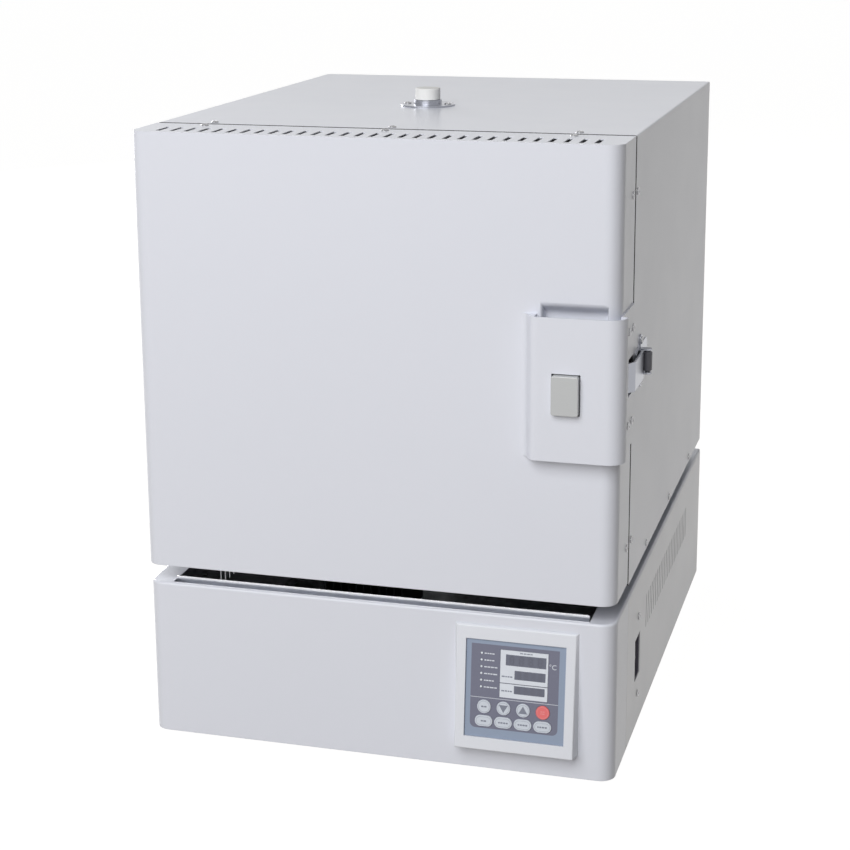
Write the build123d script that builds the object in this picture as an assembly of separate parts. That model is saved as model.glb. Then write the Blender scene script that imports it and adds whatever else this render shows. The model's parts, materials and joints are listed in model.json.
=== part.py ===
from build123d import *
import os
from math import atan2, cos, degrees, radians, sin, sqrt

os.makedirs("parts", exist_ok=True)

# Millimetres.  +X right, +Z up, the door faces -Y.  The origin is on the floor, below the middle of
# the furnace's bounding box.

# ------------------------------------------------------------------ cabinet
body_width = 600.0
foot_height = 8.0
base_height = 202.0  # the base's lower edge to its deck
neck_height = 19.5  # air gap between the deck and the casing
casing_height = 553.5
casing_depth = 660.0
base_setback = 4.0  # the base's front behind the door's
base_overhang = 10.0  # the base's back behind the casing's
sheet = 1.5
corner_radius = 19.0  # vertical front corners of the door and the base
deck_edge_radius = 3.0
fit_gap = 0.3  # between pieces that slide or nest
flange_height = 16.0  # upturned edges that the panel screws go into

# ------------------------------------------------------------------ door
door_depth = 86.0
door_gap = 5.0  # the seam between the door and the casing
door_lift = 5.0  # the door's lower edge above the casing's
slot_inset = 30.0  # least distance of the end slots from the door's sides
slot_pitch = 17.8
slot_width = 6.0
slot_length = 37.0
slot_front = 13.0  # the slots' front ends behind the door's front
plug_clearance = 5.0  # all round, between the door's plug and the throat
plug_entry = 26.0
plug_back = 45.0  # the plug's front behind the door's front
plug_chamfer = 10.0
gasket_width = 12.0
gasket_offset = 22.0  # the gasket's inner edge outside the throat

# ------------------------------------------------------------------ grip, button and latch
grip_stand = 18.0
grip_sheet = 2.0
grip_inset = 117.0  # the grip's left side from the door's right side
grip_rise_width = 24.0  # width of the S-curve
grip_bulge = 9.0  # past the door's right side
grip_corner = 21.0
hairpin_radius = 4.0
grip_top = 578.0  # heights of the grip are above the base's lower edge
grip_bottom = 407.0
grip_floor = 518.0  # the floor of the finger pocket
pocket_inset = 19.0  # the pocket's full depth from the door's right side
pocket_width = 68.0
pocket_depth = 15.0
pocket_rise = 16.0  # the pocket's top above the grip
pocket_slope = 20.0  # height of its soft top
pocket_ramp = 8.0  # width of each soft end
pocket_lip = 0.2  # how far its soft edges start in front of the door
button_width = 32.0
button_height = 47.0
button_stand = 8.0
button_thickness = 14.0
button_gap = 1.0  # between the button and the edges of its hole
button_inset = 59.0  # the button's middle from the door's right side
button_z = 488.0
stem_radius = 5.0
latch_z = 494.0
notch_height = 46.0
notch_depth = 36.0  # from the door's back edge
hook_height = 36.0
hook_drop = 3.0  # the hook's middle below the notch's
hook_sheet = 2.5
hook_pivot_inset = 20.0  # from the door's right side
hook_pivot_depth = 32.0
hook_stand = 4.0  # the hook's inner face outside the casing's side
hook_pin_radius = 4.0
keeper_depth = 52.0  # the roller's axis behind the casing's front edge
roller_radius = 5.5
roller_height = 27.0
roller_chamfer = 2.5
roller_pin_radius = 2.5
keeper_sheet = 2.0
keeper_plate_width = 76.0
keeper_plate_height = 40.0
keeper_screw_spacing = 51.0
keeper_strap_width = 12.0
keeper_plate_offset = 12.0  # the backing plate's middle behind the roller
nose_gap = 1.0
nose_lip = 2.5

# ------------------------------------------------------------------ hinges
hinge_height = 66.0
hinge_leaf_width = 30.0
hinge_leaf_sheet = 2.5
knuckle_radius = 7.0
knuckle_gap = 0.4
hinge_pin_radius = 3.5
running_gap = 0.05
hinge_inset = 112.0  # hinge centres from the door's top and bottom edges

# ------------------------------------------------------------------ furnace chamber
chamber_width = 300.0
chamber_height = 250.0
chamber_depth = 400.0
throat_depth = 58.0
throat_step = 8.0  # the throat is wider than the chamber, all round
heater_thickness = 25.0
hearth_thickness = 20.0
board_thickness = 75.0
rear_board = 100.0
frame_sheet = 2.0  # the casing's front face
casing_bend = 2.0  # rounding of its folded top edges
inner_sheet = 1.0
element_radius = 3.7
element_recess = 1.5
element_count = 8
element_end = 12.0
rail_width = 40.0
rail_spacing = 340.0
rail_sheet = 2.0

# ------------------------------------------------------------------ exhaust port and thermocouple
port_x = -24.0
port_behind_front = 350.0
port_flange_radius = 36.0
port_flange_sheet = 2.0
collar_radius = 18.5
collar_height = 6.0
tube_radius = 15.0
tube_bore = 10.0
plug_radius = 16.5
plug_height = 15.0
plug_stem = 28.0
port_screw_spacing = 55.0
sheath_radius = 4.0
sheath_drop = 40.0  # the sheath below the chamber's roof
sheath_reach = 60.0  # into the chamber
head_radius = 18.0
head_length = 20.0
cover_width = 90.0
cover_height = 70.0
cover_stand = 26.0

# ------------------------------------------------------------------ base
wrap_depth = 92.0  # how far the front panel wraps round the base's sides
air_slot_width = 536.0
air_slot_front = 6.0
air_slot_length = 62.0
sill_rise = 5.5
sill_back = 13.0  # the sill strip behind the base's front
sill_drop = 14.0  # its foot below the deck
sill_flange = 9.0
neck_inset_side = 46.0
neck_inset_front = 24.0
neck_inset_back = 60.0
neck_wall = 3.0
louvre_count = 24
louvre_pitch = 16.0
louvre_width = 3.5
louvre_height = 46.0
louvre_first = 146.0  # first louvre behind the side panel's front edge
louvre_z = 131.0
switch_width = 38.0
switch_height = 56.0
switch_behind = 79.0  # the switch window's middle behind the side panel's front edge
switch_z = 94.0
switch_recess = 9.0
breaker_length = 62.0
lever_travel = 32.0
foot_radius = 18.0
foot_inset = 52.0

# ------------------------------------------------------------------ control panel
bezel_width = 153.0
bezel_height = 157.0
bezel_inset = 119.7  # its middle from the base's right side
bezel_z = 109.5
bezel_top_stand = 3.0
bezel_bottom_stand = 20.0
bezel_draft = 3.0
bezel_edge_radius = 1.5
window_width = 124.0
window_height = 123.0
fascia_recess = 2.5
fascia_sheet = 2.0
key_radius = 8.5
key_pitch = 24.3
key_stand = 1.2
key_travel = 0.7
key_rim = 1.0
key_rim_sheet = 0.8
round_row = -22.6  # rows are measured from the panel's middle, up the tilted face
oblong_row = -40.7
oblong_width = 22.2
oblong_height = 13.8
key_row_x = -1.4
board_sheet = 1.6
board_margin = 8.0
display_left = -19.0
display_right = 40.0
display_top = 50.5
display_bottom = -9.0
display_split = 9.0
display_frame = 1.0
lens_radius = 1.3
lens_pitch = 8.45
lens_x = -42.5
lens_top = 44.0
lens_count = 6

# ------------------------------------------------------------------ rear, cooling fan and supply
fan_size = 119.0
fan_depth = 38.0
fan_x = -150.0
fan_hub = 20.0
fan_tip_gap = 2.0
fan_blades = 7
fan_wall = 2.0
fan_shaft = 4.0
shaft_length = 12.0
spider_sheet = 4.0
rotor_depth = 24.0
blade_pitch = 38.0
blade_sheet = 1.6
gland_x = 190.0
gland_z = 60.0
gland_radius = 13.0
gland_reach = 25.0
gland_bore = 7.0
gland_hexagon = 8.0
gland_nut = 5.0
gland_thread = 14.0  # its length inside the rear panel
sink_x = -150.0
sink_behind = 220.0  # the heat sink's back in front of the base's rear
sink_width = 120.0
sink_depth = 110.0
sink_height = 60.0
sink_floor = 8.0
sink_fins = 11
sink_fin = 2.5
terminal_behind = 78.0
terminal_depth = 32.0
terminal_height = 26.0
terminal_well = 14.0  # the floor of each terminal's well above the tray
terminal_count = 5
terminal_pitch = 18.0
terminal_wall = 4.0

# ------------------------------------------------------------------ screws
screw_head_radius = 4.7
head_height = 2.4
shank_radius = 2.0
shank_length = 6.0
shank_gap = 0.25
screw_edge = 14.0  # panel screws from the door's seam
screw_spread = 230.0  # outer screws of the top rows from the middle
screw_low = 50.0  # lower side screws above the door's lower edge
screw_high = 67.0  # upper side screws below the top
panel_screw = 12.0  # rear panel screws from the panel's edges
base_screw_low = 41.0
base_screw_high = 147.0
grip_screw_rows = (8.0, 34.0)  # in front of the door's back edge
grip_screw_levels = (-58.0, 56.0)  # from the latch's middle

# ------------------------------------------------------------------ places worked out from the sizes
half = body_width / 2
base_z0 = foot_height
deck_z = base_z0 + base_height
casing_z0 = deck_z + neck_height
top_z = casing_z0 + casing_height
door_z0 = casing_z0 + door_lift

front_reach = grip_stand + button_stand
rear_reach = door_depth + door_gap + casing_depth + base_overhang + gland_reach
front_y = (front_reach - rear_reach) / 2  # the door's front face
door_y1 = front_y + door_depth
slot_count = 2 * int((half - slot_inset) / slot_pitch) + 1
casing_y0 = door_y1 + door_gap
casing_y1 = casing_y0 + casing_depth
base_y0 = front_y + base_setback
base_y1 = casing_y1 + base_overhang

chamber_z = (door_z0 + top_z) / 2
chamber_z0 = chamber_z - chamber_height / 2
chamber_z1 = chamber_z + chamber_height / 2
chamber_y0 = casing_y0 + frame_sheet + throat_depth
chamber_y1 = chamber_y0 + chamber_depth
throat_half = chamber_width / 2 + throat_step
throat_z0 = chamber_z0 - throat_step
throat_z1 = chamber_z1 + throat_step
lining_half = chamber_width / 2 + heater_thickness + board_thickness
lining_z0 = chamber_z0 - hearth_thickness - board_thickness
lining_z1 = chamber_z1 + heater_thickness + board_thickness
lining_y1 = chamber_y1 + rear_board

grip_left = half - grip_inset
pocket_right = half - pocket_inset
pocket_left = pocket_right - pocket_width
button_x = half - button_inset
hook_pivot_x = half - hook_pivot_inset
pivot_y = front_y + hook_pivot_depth
hinge_x = -half - knuckle_radius - 1.0
hinge_y = door_y1 + door_gap / 2
hinge_levels = [door_z0 + hinge_inset, top_z - hinge_inset]
roller_x = half + keeper_sheet + roller_radius + 2.5
roller_y = casing_y0 + keeper_depth
latch_level = base_z0 + latch_z
port_y = front_y + port_behind_front

bezel_x = half - bezel_inset
tilt = degrees(atan2(bezel_bottom_stand - bezel_top_stand, bezel_height))
panel_origin = (bezel_x, base_y0 - (bezel_top_stand + bezel_bottom_stand) / 2, base_z0 + bezel_z)
panel = Plane(origin=panel_origin, x_dir=(1, 0, 0), z_dir=(0, -cos(radians(tilt)), sin(radians(tilt))))


# ------------------------------------------------------------------ shared shapes
def block(x0, x1, y0, y1, z0, z1):
    """Box between two opposite corners."""
    return Pos((x0 + x1) / 2, (y0 + y1) / 2, (z0 + z1) / 2) * Box(x1 - x0, y1 - y0, z1 - z0)


def rod(start, direction, radius, length):
    """Round bar from a start point along a direction."""
    return extrude(Plane(origin=start, z_dir=direction) * Circle(radius), amount=length)


def upright(x, y, z):
    """Plane facing +Y at a point, its own X along +X."""
    return Plane(origin=(x, y, z), x_dir=(1, 0, 0), z_dir=(0, 1, 0))


def front_rounded(x_half, y0, y1, radius, z0, z1):
    """Box whose two vertical front edges are rounded."""
    body = block(-x_half, x_half, y0, y1, z0, z1)
    return fillet(body.edges().filter_by(Axis.Z).group_by(Axis.Y)[0], radius)


def ring_plate(y0, y1, outer_half, outer_z0, outer_z1, inner_half, inner_z0, inner_z1):
    """Upright plate with a rectangular opening, both centred on X = 0."""
    outer = block(-outer_half, outer_half, y0, y1, outer_z0, outer_z1)
    return outer - block(-inner_half, inner_half, y0 - 1, y1 + 1, inner_z0, inner_z1)


def save(name, shape):
    """Write one named piece, or a group of separate solids, as a STEP file."""
    solids = shape.solids()
    piece = solids[0] if len(solids) == 1 else Compound(children=list(solids))
    export_step(piece, f"parts/{name}.step")


# ------------------------------------------------------------------ screws
def make_screw():
    """Truss-head screw at the origin: domed head above Z = 0, shank below."""
    outline = Polyline((0, -shank_length), (shank_radius, -shank_length), (shank_radius, 0),
                       (screw_head_radius, 0), (screw_head_radius * 0.86, head_height * 0.55),
                       (screw_head_radius * 0.5, head_height), (0, head_height), close=True)
    return revolve(Plane.XZ * make_face(outline), Axis.Z)


def screws_at(seats):
    """Group of screws, one for each (point, outward direction)."""
    screw = make_screw()
    places = [Plane(origin=point, z_dir=outward).location for point, outward in seats]
    return Compound(children=[place * screw for place in places])


def holes_at(seats):
    """Clearance holes for the shanks of screws_at."""
    radius = shank_radius + shank_gap
    return [rod(Vector(*point) - Vector(*outward) * (shank_length + 2), outward, radius, shank_length + 4)
            for point, outward in seats]


top_screw_x = [-screw_spread, 0.0, screw_spread]
side_screw_z = [door_z0 + screw_low, top_z - screw_high]
door_screws = [((x, door_y1 - screw_edge, top_z), (0, 0, 1)) for x in top_screw_x]
door_screws += [((side * half, door_y1 - screw_edge, z), (side, 0, 0))
                for side in (-1, 1) for z in side_screw_z]
casing_screws = [((x, casing_y0 + screw_edge, top_z), (0, 0, 1)) for x in top_screw_x]
casing_screws += [((side * half, casing_y0 + screw_edge, z), (side, 0, 0))
                  for side in (-1, 1) for z in side_screw_z]
casing_screws += [((side * half, casing_y0 + casing_depth * share, casing_z0 + flange_height / 2),
                   (side, 0, 0)) for side in (-1, 1) for share in (0.21, 0.51, 0.81)]
base_screws = [((side * half, base_y0 + wrap_depth + switch_behind + 6, base_z0 + z), (side, 0, 0))
               for side in (-1, 1) for z in (base_screw_low, base_screw_high)]
grip_screws = [((half + grip_sheet, door_y1 - y, latch_level + z), (1, 0, 0))
               for y in grip_screw_rows for z in grip_screw_levels]
port_screws = [((port_x + side * port_screw_spacing / 2, port_y, top_z + port_flange_sheet), (0, 0, 1))
               for side in (-1, 1)]
keeper_screws = [((half + keeper_sheet, roller_y, latch_level + side * keeper_screw_spacing / 2), (1, 0, 0))
                 for side in (-1, 1)]
rear_screws = [((x, casing_y1, z), (0, 1, 0)) for x in (panel_screw - half, 0, half - panel_screw)
               for z in (casing_z0 + panel_screw, top_z - panel_screw)]
base_rear_screws = [((x, base_y1, base_z0 + z), (0, 1, 0)) for x in (panel_screw - half, half - panel_screw)
                    for z in (panel_screw, base_height - panel_screw)]
cabinet_screws = casing_screws + base_screws + rear_screws + base_rear_screws + port_screws + keeper_screws


# ------------------------------------------------------------------ base
def base_cover():
    """Front wrapped round its two corners, in one piece with the deck and its long air slot."""
    shell = front_rounded(half, base_y0, base_y1, corner_radius, base_z0, deck_z)
    rim = shell.edges().group_by(Axis.Z)[-1].sort_by(Axis.Y)[:-1]
    shell = fillet(rim, deck_edge_radius)
    shell -= front_rounded(half - sheet, base_y0 + sheet, base_y1 + 1, corner_radius - sheet,
                           base_z0 - 1, deck_z - sheet)
    wrap_end = base_y0 + wrap_depth
    for side in (-1, 1):
        inner, outer = sorted((side * (half - sheet - 1), side * (half + 1)))
        shell -= block(inner, outer, wrap_end, base_y1 + 1, base_z0 - 1, deck_z - deck_edge_radius - sheet)
    slot_y0 = base_y0 + air_slot_front
    shell -= block(-air_slot_width / 2, air_slot_width / 2, slot_y0, slot_y0 + air_slot_length,
                   deck_z - 5, deck_z + 5)
    neck = neck_box(neck_wall)
    shell -= block(neck[0], neck[1], neck[2], neck[3], deck_z - 5, deck_z + 5)
    bottom_back = panel.offset(-bezel_bottom_stand - 10)
    return shell - extrude(bottom_back * Rectangle(window_width - 2, window_height - 2), amount=40)


def neck_box(inset):
    """Plan of the neck, moved inwards by an inset: x0, x1, y0, y1."""
    x_half = half - neck_inset_side - inset
    return -x_half, x_half, casing_y0 + neck_inset_front + inset, casing_y1 - neck_inset_back - inset


def neck():
    """Open frame that carries the casing above the deck."""
    outer, inner = neck_box(0), neck_box(neck_wall)
    frame = block(outer[0], outer[1], outer[2], outer[3], deck_z, casing_z0)
    return frame - block(inner[0], inner[1], inner[2], inner[3], deck_z - 1, casing_z0 + 1)


def sill_strip():
    """Stainless lip standing up in the air slot, its foot carried low behind the base's front."""
    x_half = air_slot_width / 2 - 1.5
    lip_y, wall_y = base_y0 + sill_back, base_y0 + sheet
    foot_z = deck_z - sill_drop
    profile = Polyline((wall_y, foot_z), (lip_y, foot_z), (lip_y, deck_z + sill_rise),
                       (lip_y + sheet, deck_z + sill_rise), (lip_y + sheet, foot_z - sheet),
                       (wall_y + sheet, foot_z - sheet), (wall_y + sheet, foot_z - sill_flange),
                       (wall_y, foot_z - sill_flange), close=True)
    strip = extrude(Plane.YZ * make_face(profile), amount=x_half, both=True)
    ends = strip.edges().filter_by(Axis.Y).group_by(Axis.Z)[-1]
    return fillet(ends, sill_rise * 0.4)


def louvres(side):
    """Cutters for the row of upright slits in one of the base's side panels."""
    start = base_y0 + wrap_depth + louvre_first
    return [block(side * half - 5, side * half + 5, start + i * louvre_pitch - louvre_width / 2,
                  start + i * louvre_pitch + louvre_width / 2,
                  base_z0 + louvre_z - louvre_height / 2, base_z0 + louvre_z + louvre_height / 2)
            for i in range(louvre_count)]


def base_side(side):
    """Louvred side panel of the base."""
    inner, outer = sorted((side * (half - sheet), side * half))
    plate = block(inner, outer, base_y0 + wrap_depth + fit_gap, base_y1,
                  base_z0, deck_z - deck_edge_radius - sheet - fit_gap)
    plate = plate - louvres(side) - holes_at([s for s in base_screws if s[1][0] == side])
    if side > 0:
        plate -= switch_window(0.0, 20.0)
    return plate


def switch_window(grow, depth):
    """Box through the right side of the base at the switch, as deep as asked."""
    y_mid = base_y0 + wrap_depth + switch_behind
    z_mid = base_z0 + switch_z
    return block(half - depth, half + 1, y_mid - switch_width / 2 - grow, y_mid + switch_width / 2 + grow,
                 z_mid - switch_height / 2 - grow, z_mid + switch_height / 2 + grow)


def switch_pan():
    """Recessed frame that the supply breaker looks out of."""
    flange = switch_window(6.0, 2 * sheet) & block(half - 2 * sheet, half - sheet, -5000, 5000, 0, 5000)
    tub = switch_window(sheet, switch_recess + sheet) & block(0, half - sheet, -5000, 5000, 0, 5000)
    opening = switch_window(-3.0, 60.0)
    return (flange + tub) - switch_window(0.0, switch_recess) - opening


def breaker_body():
    """Supply breaker behind the recessed frame, with a slot for its lever."""
    face_x = half - switch_recess - sheet
    y_mid = base_y0 + wrap_depth + switch_behind
    z_mid = base_z0 + switch_z
    body = block(face_x - breaker_length, face_x, y_mid - switch_width / 2 - 3, y_mid + switch_width / 2 + 3,
                 z_mid - switch_height / 2 - 3, z_mid + switch_height / 2 + 3)
    nose = block(face_x, face_x + 3, y_mid - switch_width / 2 + 4, y_mid + switch_width / 2 - 4,
                 z_mid - switch_height / 2 + 4, z_mid + switch_height / 2 - 4)
    well = block(face_x - 14, face_x + 5, y_mid - 7, y_mid + 7, z_mid - 15, z_mid + 15)
    return body + nose - well


def lever_pivot():
    """Axis point of the breaker's lever."""
    return (half - switch_recess - sheet - 8, base_y0 + wrap_depth + switch_behind, base_z0 + switch_z)


def breaker_lever():
    """Toggle on a cross pin, drawn in its lower position."""
    x, y, z = lever_pivot()
    hub = rod((x, y - 6.7, z), (0, 1, 0), 5.0, 13.4)
    arm = block(x, x + 16, y - 5.5, y + 5.5, z - 3, z + 3)
    arm = fillet(arm.edges().filter_by(Axis.Y).group_by(Axis.X)[-1], 2.5)
    return (hub + arm).rotate(Axis((x, y, z), (0, 1, 0)), lever_travel / 2)


def base_tray():
    """Floor of the base, with upturned edges inside the panels."""
    x_half = half - sheet - fit_gap
    y0, y1 = base_y0 + sheet + fit_gap, base_y1 - sheet - fit_gap
    corner = corner_radius - sheet - fit_gap
    tray = front_rounded(x_half, y0, y1, corner, base_z0, base_z0 + flange_height)
    tray -= front_rounded(x_half - sheet, y0 + sheet, y1 - sheet, corner - sheet,
                          base_z0 + sheet, base_z0 + flange_height + 1)
    tray -= [rod((x, y, base_z0 - 1), (0, 0, 1), 3.2, 5) for x, y in foot_places()]
    return tray - holes_at(base_rear_screws)


def foot_places():
    """Centres of the four feet."""
    return [(x, y) for x in (-half + foot_inset, half - foot_inset)
            for y in (base_y0 + foot_inset, base_y1 - foot_inset)]


def feet():
    """Rubber feet with a stud through the tray."""
    outline = Polyline((0, 0), (foot_radius - 3, 0), (foot_radius, foot_height), (0, foot_height), close=True)
    foot = revolve(Plane.XZ * make_face(outline), Axis.Z) + rod((0, 0, foot_height), (0, 0, 1), 3.0, 4.0)
    return Compound(children=[Pos(x, y, 0) * foot for x, y in foot_places()])


def base_rear():
    """Rear panel of the base, with the fan's ring of slots and the gland's hole."""
    z1 = deck_z - sheet - fit_gap
    plate = block(-half + sheet + fit_gap, half - sheet - fit_gap, base_y1 - sheet, base_y1, base_z0, z1)
    fan_z = fan_level()
    bars = []
    for radius in (18.0, 30.0, 42.0, 54.0):
        sketch = Circle(radius + 4) - Circle(radius - 4)
        for angle in (0, 45, 90, 135):
            sketch -= Rot(0, 0, angle) * Rectangle(200, 5)
        bars += [upright(fan_x, base_y1 - 5, fan_z) * sketch]
    for sketch in bars:
        plate -= extrude(sketch, amount=10)
    plate -= rod((gland_x, base_y1 - 5, base_z0 + gland_z), (0, 1, 0), gland_radius - 3 + fit_gap, 10)
    return plate - holes_at(base_rear_screws)


def fan_level():
    """Height of the cooling fan's shaft."""
    return base_z0 + flange_height + 8 + fan_size / 2


def fan_housing():
    """Square frame of the cooling fan, with its motor spider."""
    y1 = base_y1 - sheet
    plane = upright(fan_x, y1 - fan_depth, fan_level())
    outline = RectangleRounded(fan_size, fan_size, 6) - Circle(fan_size / 2 - fan_wall)
    spider = Circle(fan_hub)
    for angle in (45, 135):
        spider += Rot(0, 0, angle) * Rectangle(fan_size - 2, 5)
    spider = spider & Circle(fan_size / 2 - fan_wall / 2)
    shaft = rod((fan_x, y1 - fan_depth + spider_sheet, fan_level()), (0, 1, 0), fan_shaft, shaft_length)
    return extrude(plane * outline, amount=fan_depth) + extrude(plane * spider, amount=spider_sheet) + shaft


def fan_rotor():
    """Hub and pitched blades on the motor's shaft."""
    y0 = base_y1 - sheet - fan_depth + spider_sheet + 1
    hub = rod((fan_x, y0, fan_level()), (0, 1, 0), fan_hub, rotor_depth)
    tip = fan_size / 2 - fan_wall - fan_tip_gap
    blade = Pos((fan_hub + tip) / 2 - 1, 0, rotor_depth / 2) * Rot(blade_pitch, 0, 0) * Box(
        tip - fan_hub + 2, rotor_depth, blade_sheet)
    plane = upright(fan_x, y0, fan_level())
    for i in range(fan_blades):
        hub += plane.location * (Rot(0, 0, i * 360 / fan_blades) * blade)
    return hub - rod((fan_x, y0 - 1, fan_level()), (0, 1, 0), fan_shaft + running_gap, shaft_length + 2)


def cable_gland():
    """Supply inlet: hexagon outside the rear panel, thread and nut inside."""
    z = base_z0 + gland_z
    outside = upright(gland_x, base_y1, z)
    inside = Plane(origin=(gland_x, base_y1 - sheet, z), z_dir=(0, -1, 0))
    hexagon = extrude(outside * RegularPolygon(gland_radius, 6), amount=gland_hexagon)
    neck_radius = gland_radius - 1.5
    profile = Polyline((0, gland_hexagon), (neck_radius, gland_hexagon), (neck_radius, gland_reach - 7),
                       (gland_radius - 5, gland_reach), (0, gland_reach), close=True)
    dome = outside.location * revolve(Plane.XZ * make_face(profile), Axis.Z)
    thread = rod((gland_x, base_y1 - gland_thread, z), (0, 1, 0), gland_radius - 3, gland_thread + 1)
    nut = extrude(inside * RegularPolygon(gland_radius + 1, 6), amount=gland_nut)
    length = gland_thread + gland_reach
    bore = rod((gland_x, base_y1 - gland_thread - 1, z), (0, 1, 0), gland_bore, length + 2)
    return (hexagon + dome + thread + nut) - bore


def terminal_block():
    """Supply terminals on the tray, behind the gland."""
    z0 = base_z0 + sheet
    y1 = base_y1 - terminal_behind
    reach = terminal_count * terminal_pitch / 2
    bar = block(gland_x - reach, gland_x + reach, y1 - terminal_depth, y1, z0, z0 + terminal_height)
    for i in range(terminal_count):
        x0 = gland_x - reach + i * terminal_pitch + terminal_wall / 2
        bar -= block(x0, x0 + terminal_pitch - terminal_wall, y1 - terminal_depth - 1, y1 + 1,
                     z0 + terminal_well, z0 + terminal_height + 1)
    return bar


def relay_heatsink():
    """Power relays on a finned heat sink, fixed to the tray in the fan's draught."""
    z0 = base_z0 + sheet
    y1 = base_y1 - sink_behind
    x0 = sink_x - sink_width / 2
    sink = block(x0, x0 + sink_width, y1 - sink_depth, y1, z0, z0 + sink_floor)
    step = (sink_width - sink_fin) / (sink_fins - 1)
    for i in range(sink_fins):
        x = x0 + i * step
        sink += block(x, x + sink_fin, y1 - sink_depth, y1, z0 + sink_floor, z0 + sink_height)
    return sink


# ------------------------------------------------------------------ upper casing
def casing_cover():
    """Top and two sides folded from one sheet, drilled for the port and the screws."""
    cover = block(-half, half, casing_y0 + frame_sheet, casing_y1, casing_z0, top_z)
    cover = fillet(cover.edges().filter_by(Axis.Y).group_by(Axis.Z)[-1], casing_bend)
    cover -= block(-half + sheet, half - sheet, casing_y0 - 1, casing_y1 + 1, casing_z0 - 1, top_z - sheet)
    cover -= rod((port_x, port_y, top_z - 5), (0, 0, 1), tube_radius + fit_gap, 10)
    return cover - holes_at(casing_screws + port_screws + keeper_screws)


def casing_floor():
    """Floor of the casing with upturned side edges and an opening over the neck."""
    x_half = half - sheet - fit_gap
    floor = block(-x_half, x_half, casing_y0 + frame_sheet, casing_y1, casing_z0, casing_z0 + flange_height)
    floor -= block(-x_half + sheet, x_half - sheet, casing_y0 - 1, casing_y1 + 1,
                   casing_z0 + sheet, casing_z0 + flange_height + 1)
    inner = neck_box(neck_wall)
    floor -= block(-rail_spacing / 2 + rail_width, rail_spacing / 2 - rail_width, inner[2], inner[3],
                   casing_z0 - 1, casing_z0 + 5)
    return floor - holes_at([s for s in casing_screws if s[0][2] < casing_z0 + flange_height])


def casing_rear():
    """Back of the casing with two rows of vents and a hole for the thermocouple."""
    x_half = half - sheet - fit_gap
    plate = block(-x_half, x_half, casing_y1 - sheet, casing_y1,
                  casing_z0 + flange_height + fit_gap, top_z - sheet - fit_gap)
    for z in (casing_z0 + 60, top_z - 60):
        plate -= [block(x - 3, x + 3, casing_y1 - 5, casing_y1 + 5, z - 20, z + 20)
                  for x in [(i - 7) * 30.0 for i in range(15)]]
    plate -= rod((0, casing_y1 - 5, chamber_z1 - sheath_drop), (0, 1, 0), sheath_radius + 2, 10)
    return plate - holes_at([s for s in rear_screws if s[0][2] > chamber_z])


def front_frame():
    """Black face of the casing round the throat, flush with the casing's top and sides."""
    plate = block(-half, half, casing_y0, casing_y0 + frame_sheet, casing_z0, top_z)
    plate = fillet(plate.edges().filter_by(Axis.Y).group_by(Axis.Z)[-1], casing_bend)
    y0, y1 = casing_y0 - 1, casing_y0 + frame_sheet + 1
    return plate - block(-throat_half, throat_half, y0, y1, throat_z0, throat_z1)


def inner_casing():
    """Sheet box round the lining, open at the front."""
    y0 = casing_y0 + frame_sheet
    shell = block(-lining_half - inner_sheet, lining_half + inner_sheet, y0, lining_y1 + inner_sheet,
                  lining_z0 - inner_sheet, lining_z1 + inner_sheet)
    shell -= block(-lining_half, lining_half, y0 - 1, lining_y1, lining_z0, lining_z1)
    shell -= rod((port_x, port_y, lining_z1 - 5), (0, 0, 1), tube_radius + fit_gap, 10)
    return shell - rod((0, lining_y1 - 5, chamber_z1 - sheath_drop), (0, 1, 0), sheath_radius + fit_gap, 10)


def lining_rails():
    """Two channels that carry the lined box on the casing's floor."""
    z0, z1 = casing_z0 + sheet, lining_z0 - inner_sheet
    rails = []
    for side in (-1, 1):
        x = side * rail_spacing / 2
        outer, inner = rail_width / 2, rail_width / 2 - rail_sheet
        rail = block(x - outer, x + outer, casing_y0 + 30, lining_y1 - 20, z0, z1)
        rail -= block(x - inner, x + inner, casing_y0, lining_y1, z0 + rail_sheet, z1 - rail_sheet)
        rails.append(rail)
    return Compound(children=rails)


def throat_ring():
    """Ceramic fibre ring between the front frame and the heated chamber."""
    y0 = casing_y0 + frame_sheet
    outer = block(-lining_half, lining_half, y0, chamber_y0, lining_z0, lining_z1)
    front = upright(0, y0 - 1, chamber_z) * Rectangle(2 * throat_half, throat_z1 - throat_z0)
    back = upright(0, chamber_y0 + 1, chamber_z) * Rectangle(chamber_width, chamber_height)
    return outer - loft([front, back], ruled=True)


def roof_board():
    """Upper insulating board."""
    board = block(-lining_half, lining_half, chamber_y0, chamber_y1, chamber_z1 + heater_thickness, lining_z1)
    return board - rod((port_x, port_y, chamber_z1), (0, 0, 1), tube_radius + fit_gap, 200)


def floor_board():
    """Lower insulating board."""
    return block(-lining_half, lining_half, chamber_y0, chamber_y1, lining_z0, chamber_z0 - hearth_thickness)


def side_board(side):
    """Insulating board beside the chamber."""
    inner, outer = sorted((side * (lining_half - board_thickness), side * lining_half))
    z0, z1 = chamber_z0 - hearth_thickness, chamber_z1 + heater_thickness
    return block(inner, outer, chamber_y0, chamber_y1, z0, z1)


def rear_lining():
    """Insulating board behind the chamber, with the thermocouple's bore."""
    board = block(-lining_half, lining_half, chamber_y1, lining_y1, lining_z0, lining_z1)
    return board - rod((0, chamber_y1 - 1, chamber_z1 - sheath_drop), (0, 1, 0), sheath_radius + fit_gap, 200)


def element_rows(length):
    """Places along a wall of the given length for the heating elements."""
    pitch = length / element_count
    return [(i + 0.5) * pitch - length / 2 for i in range(element_count)]


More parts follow.
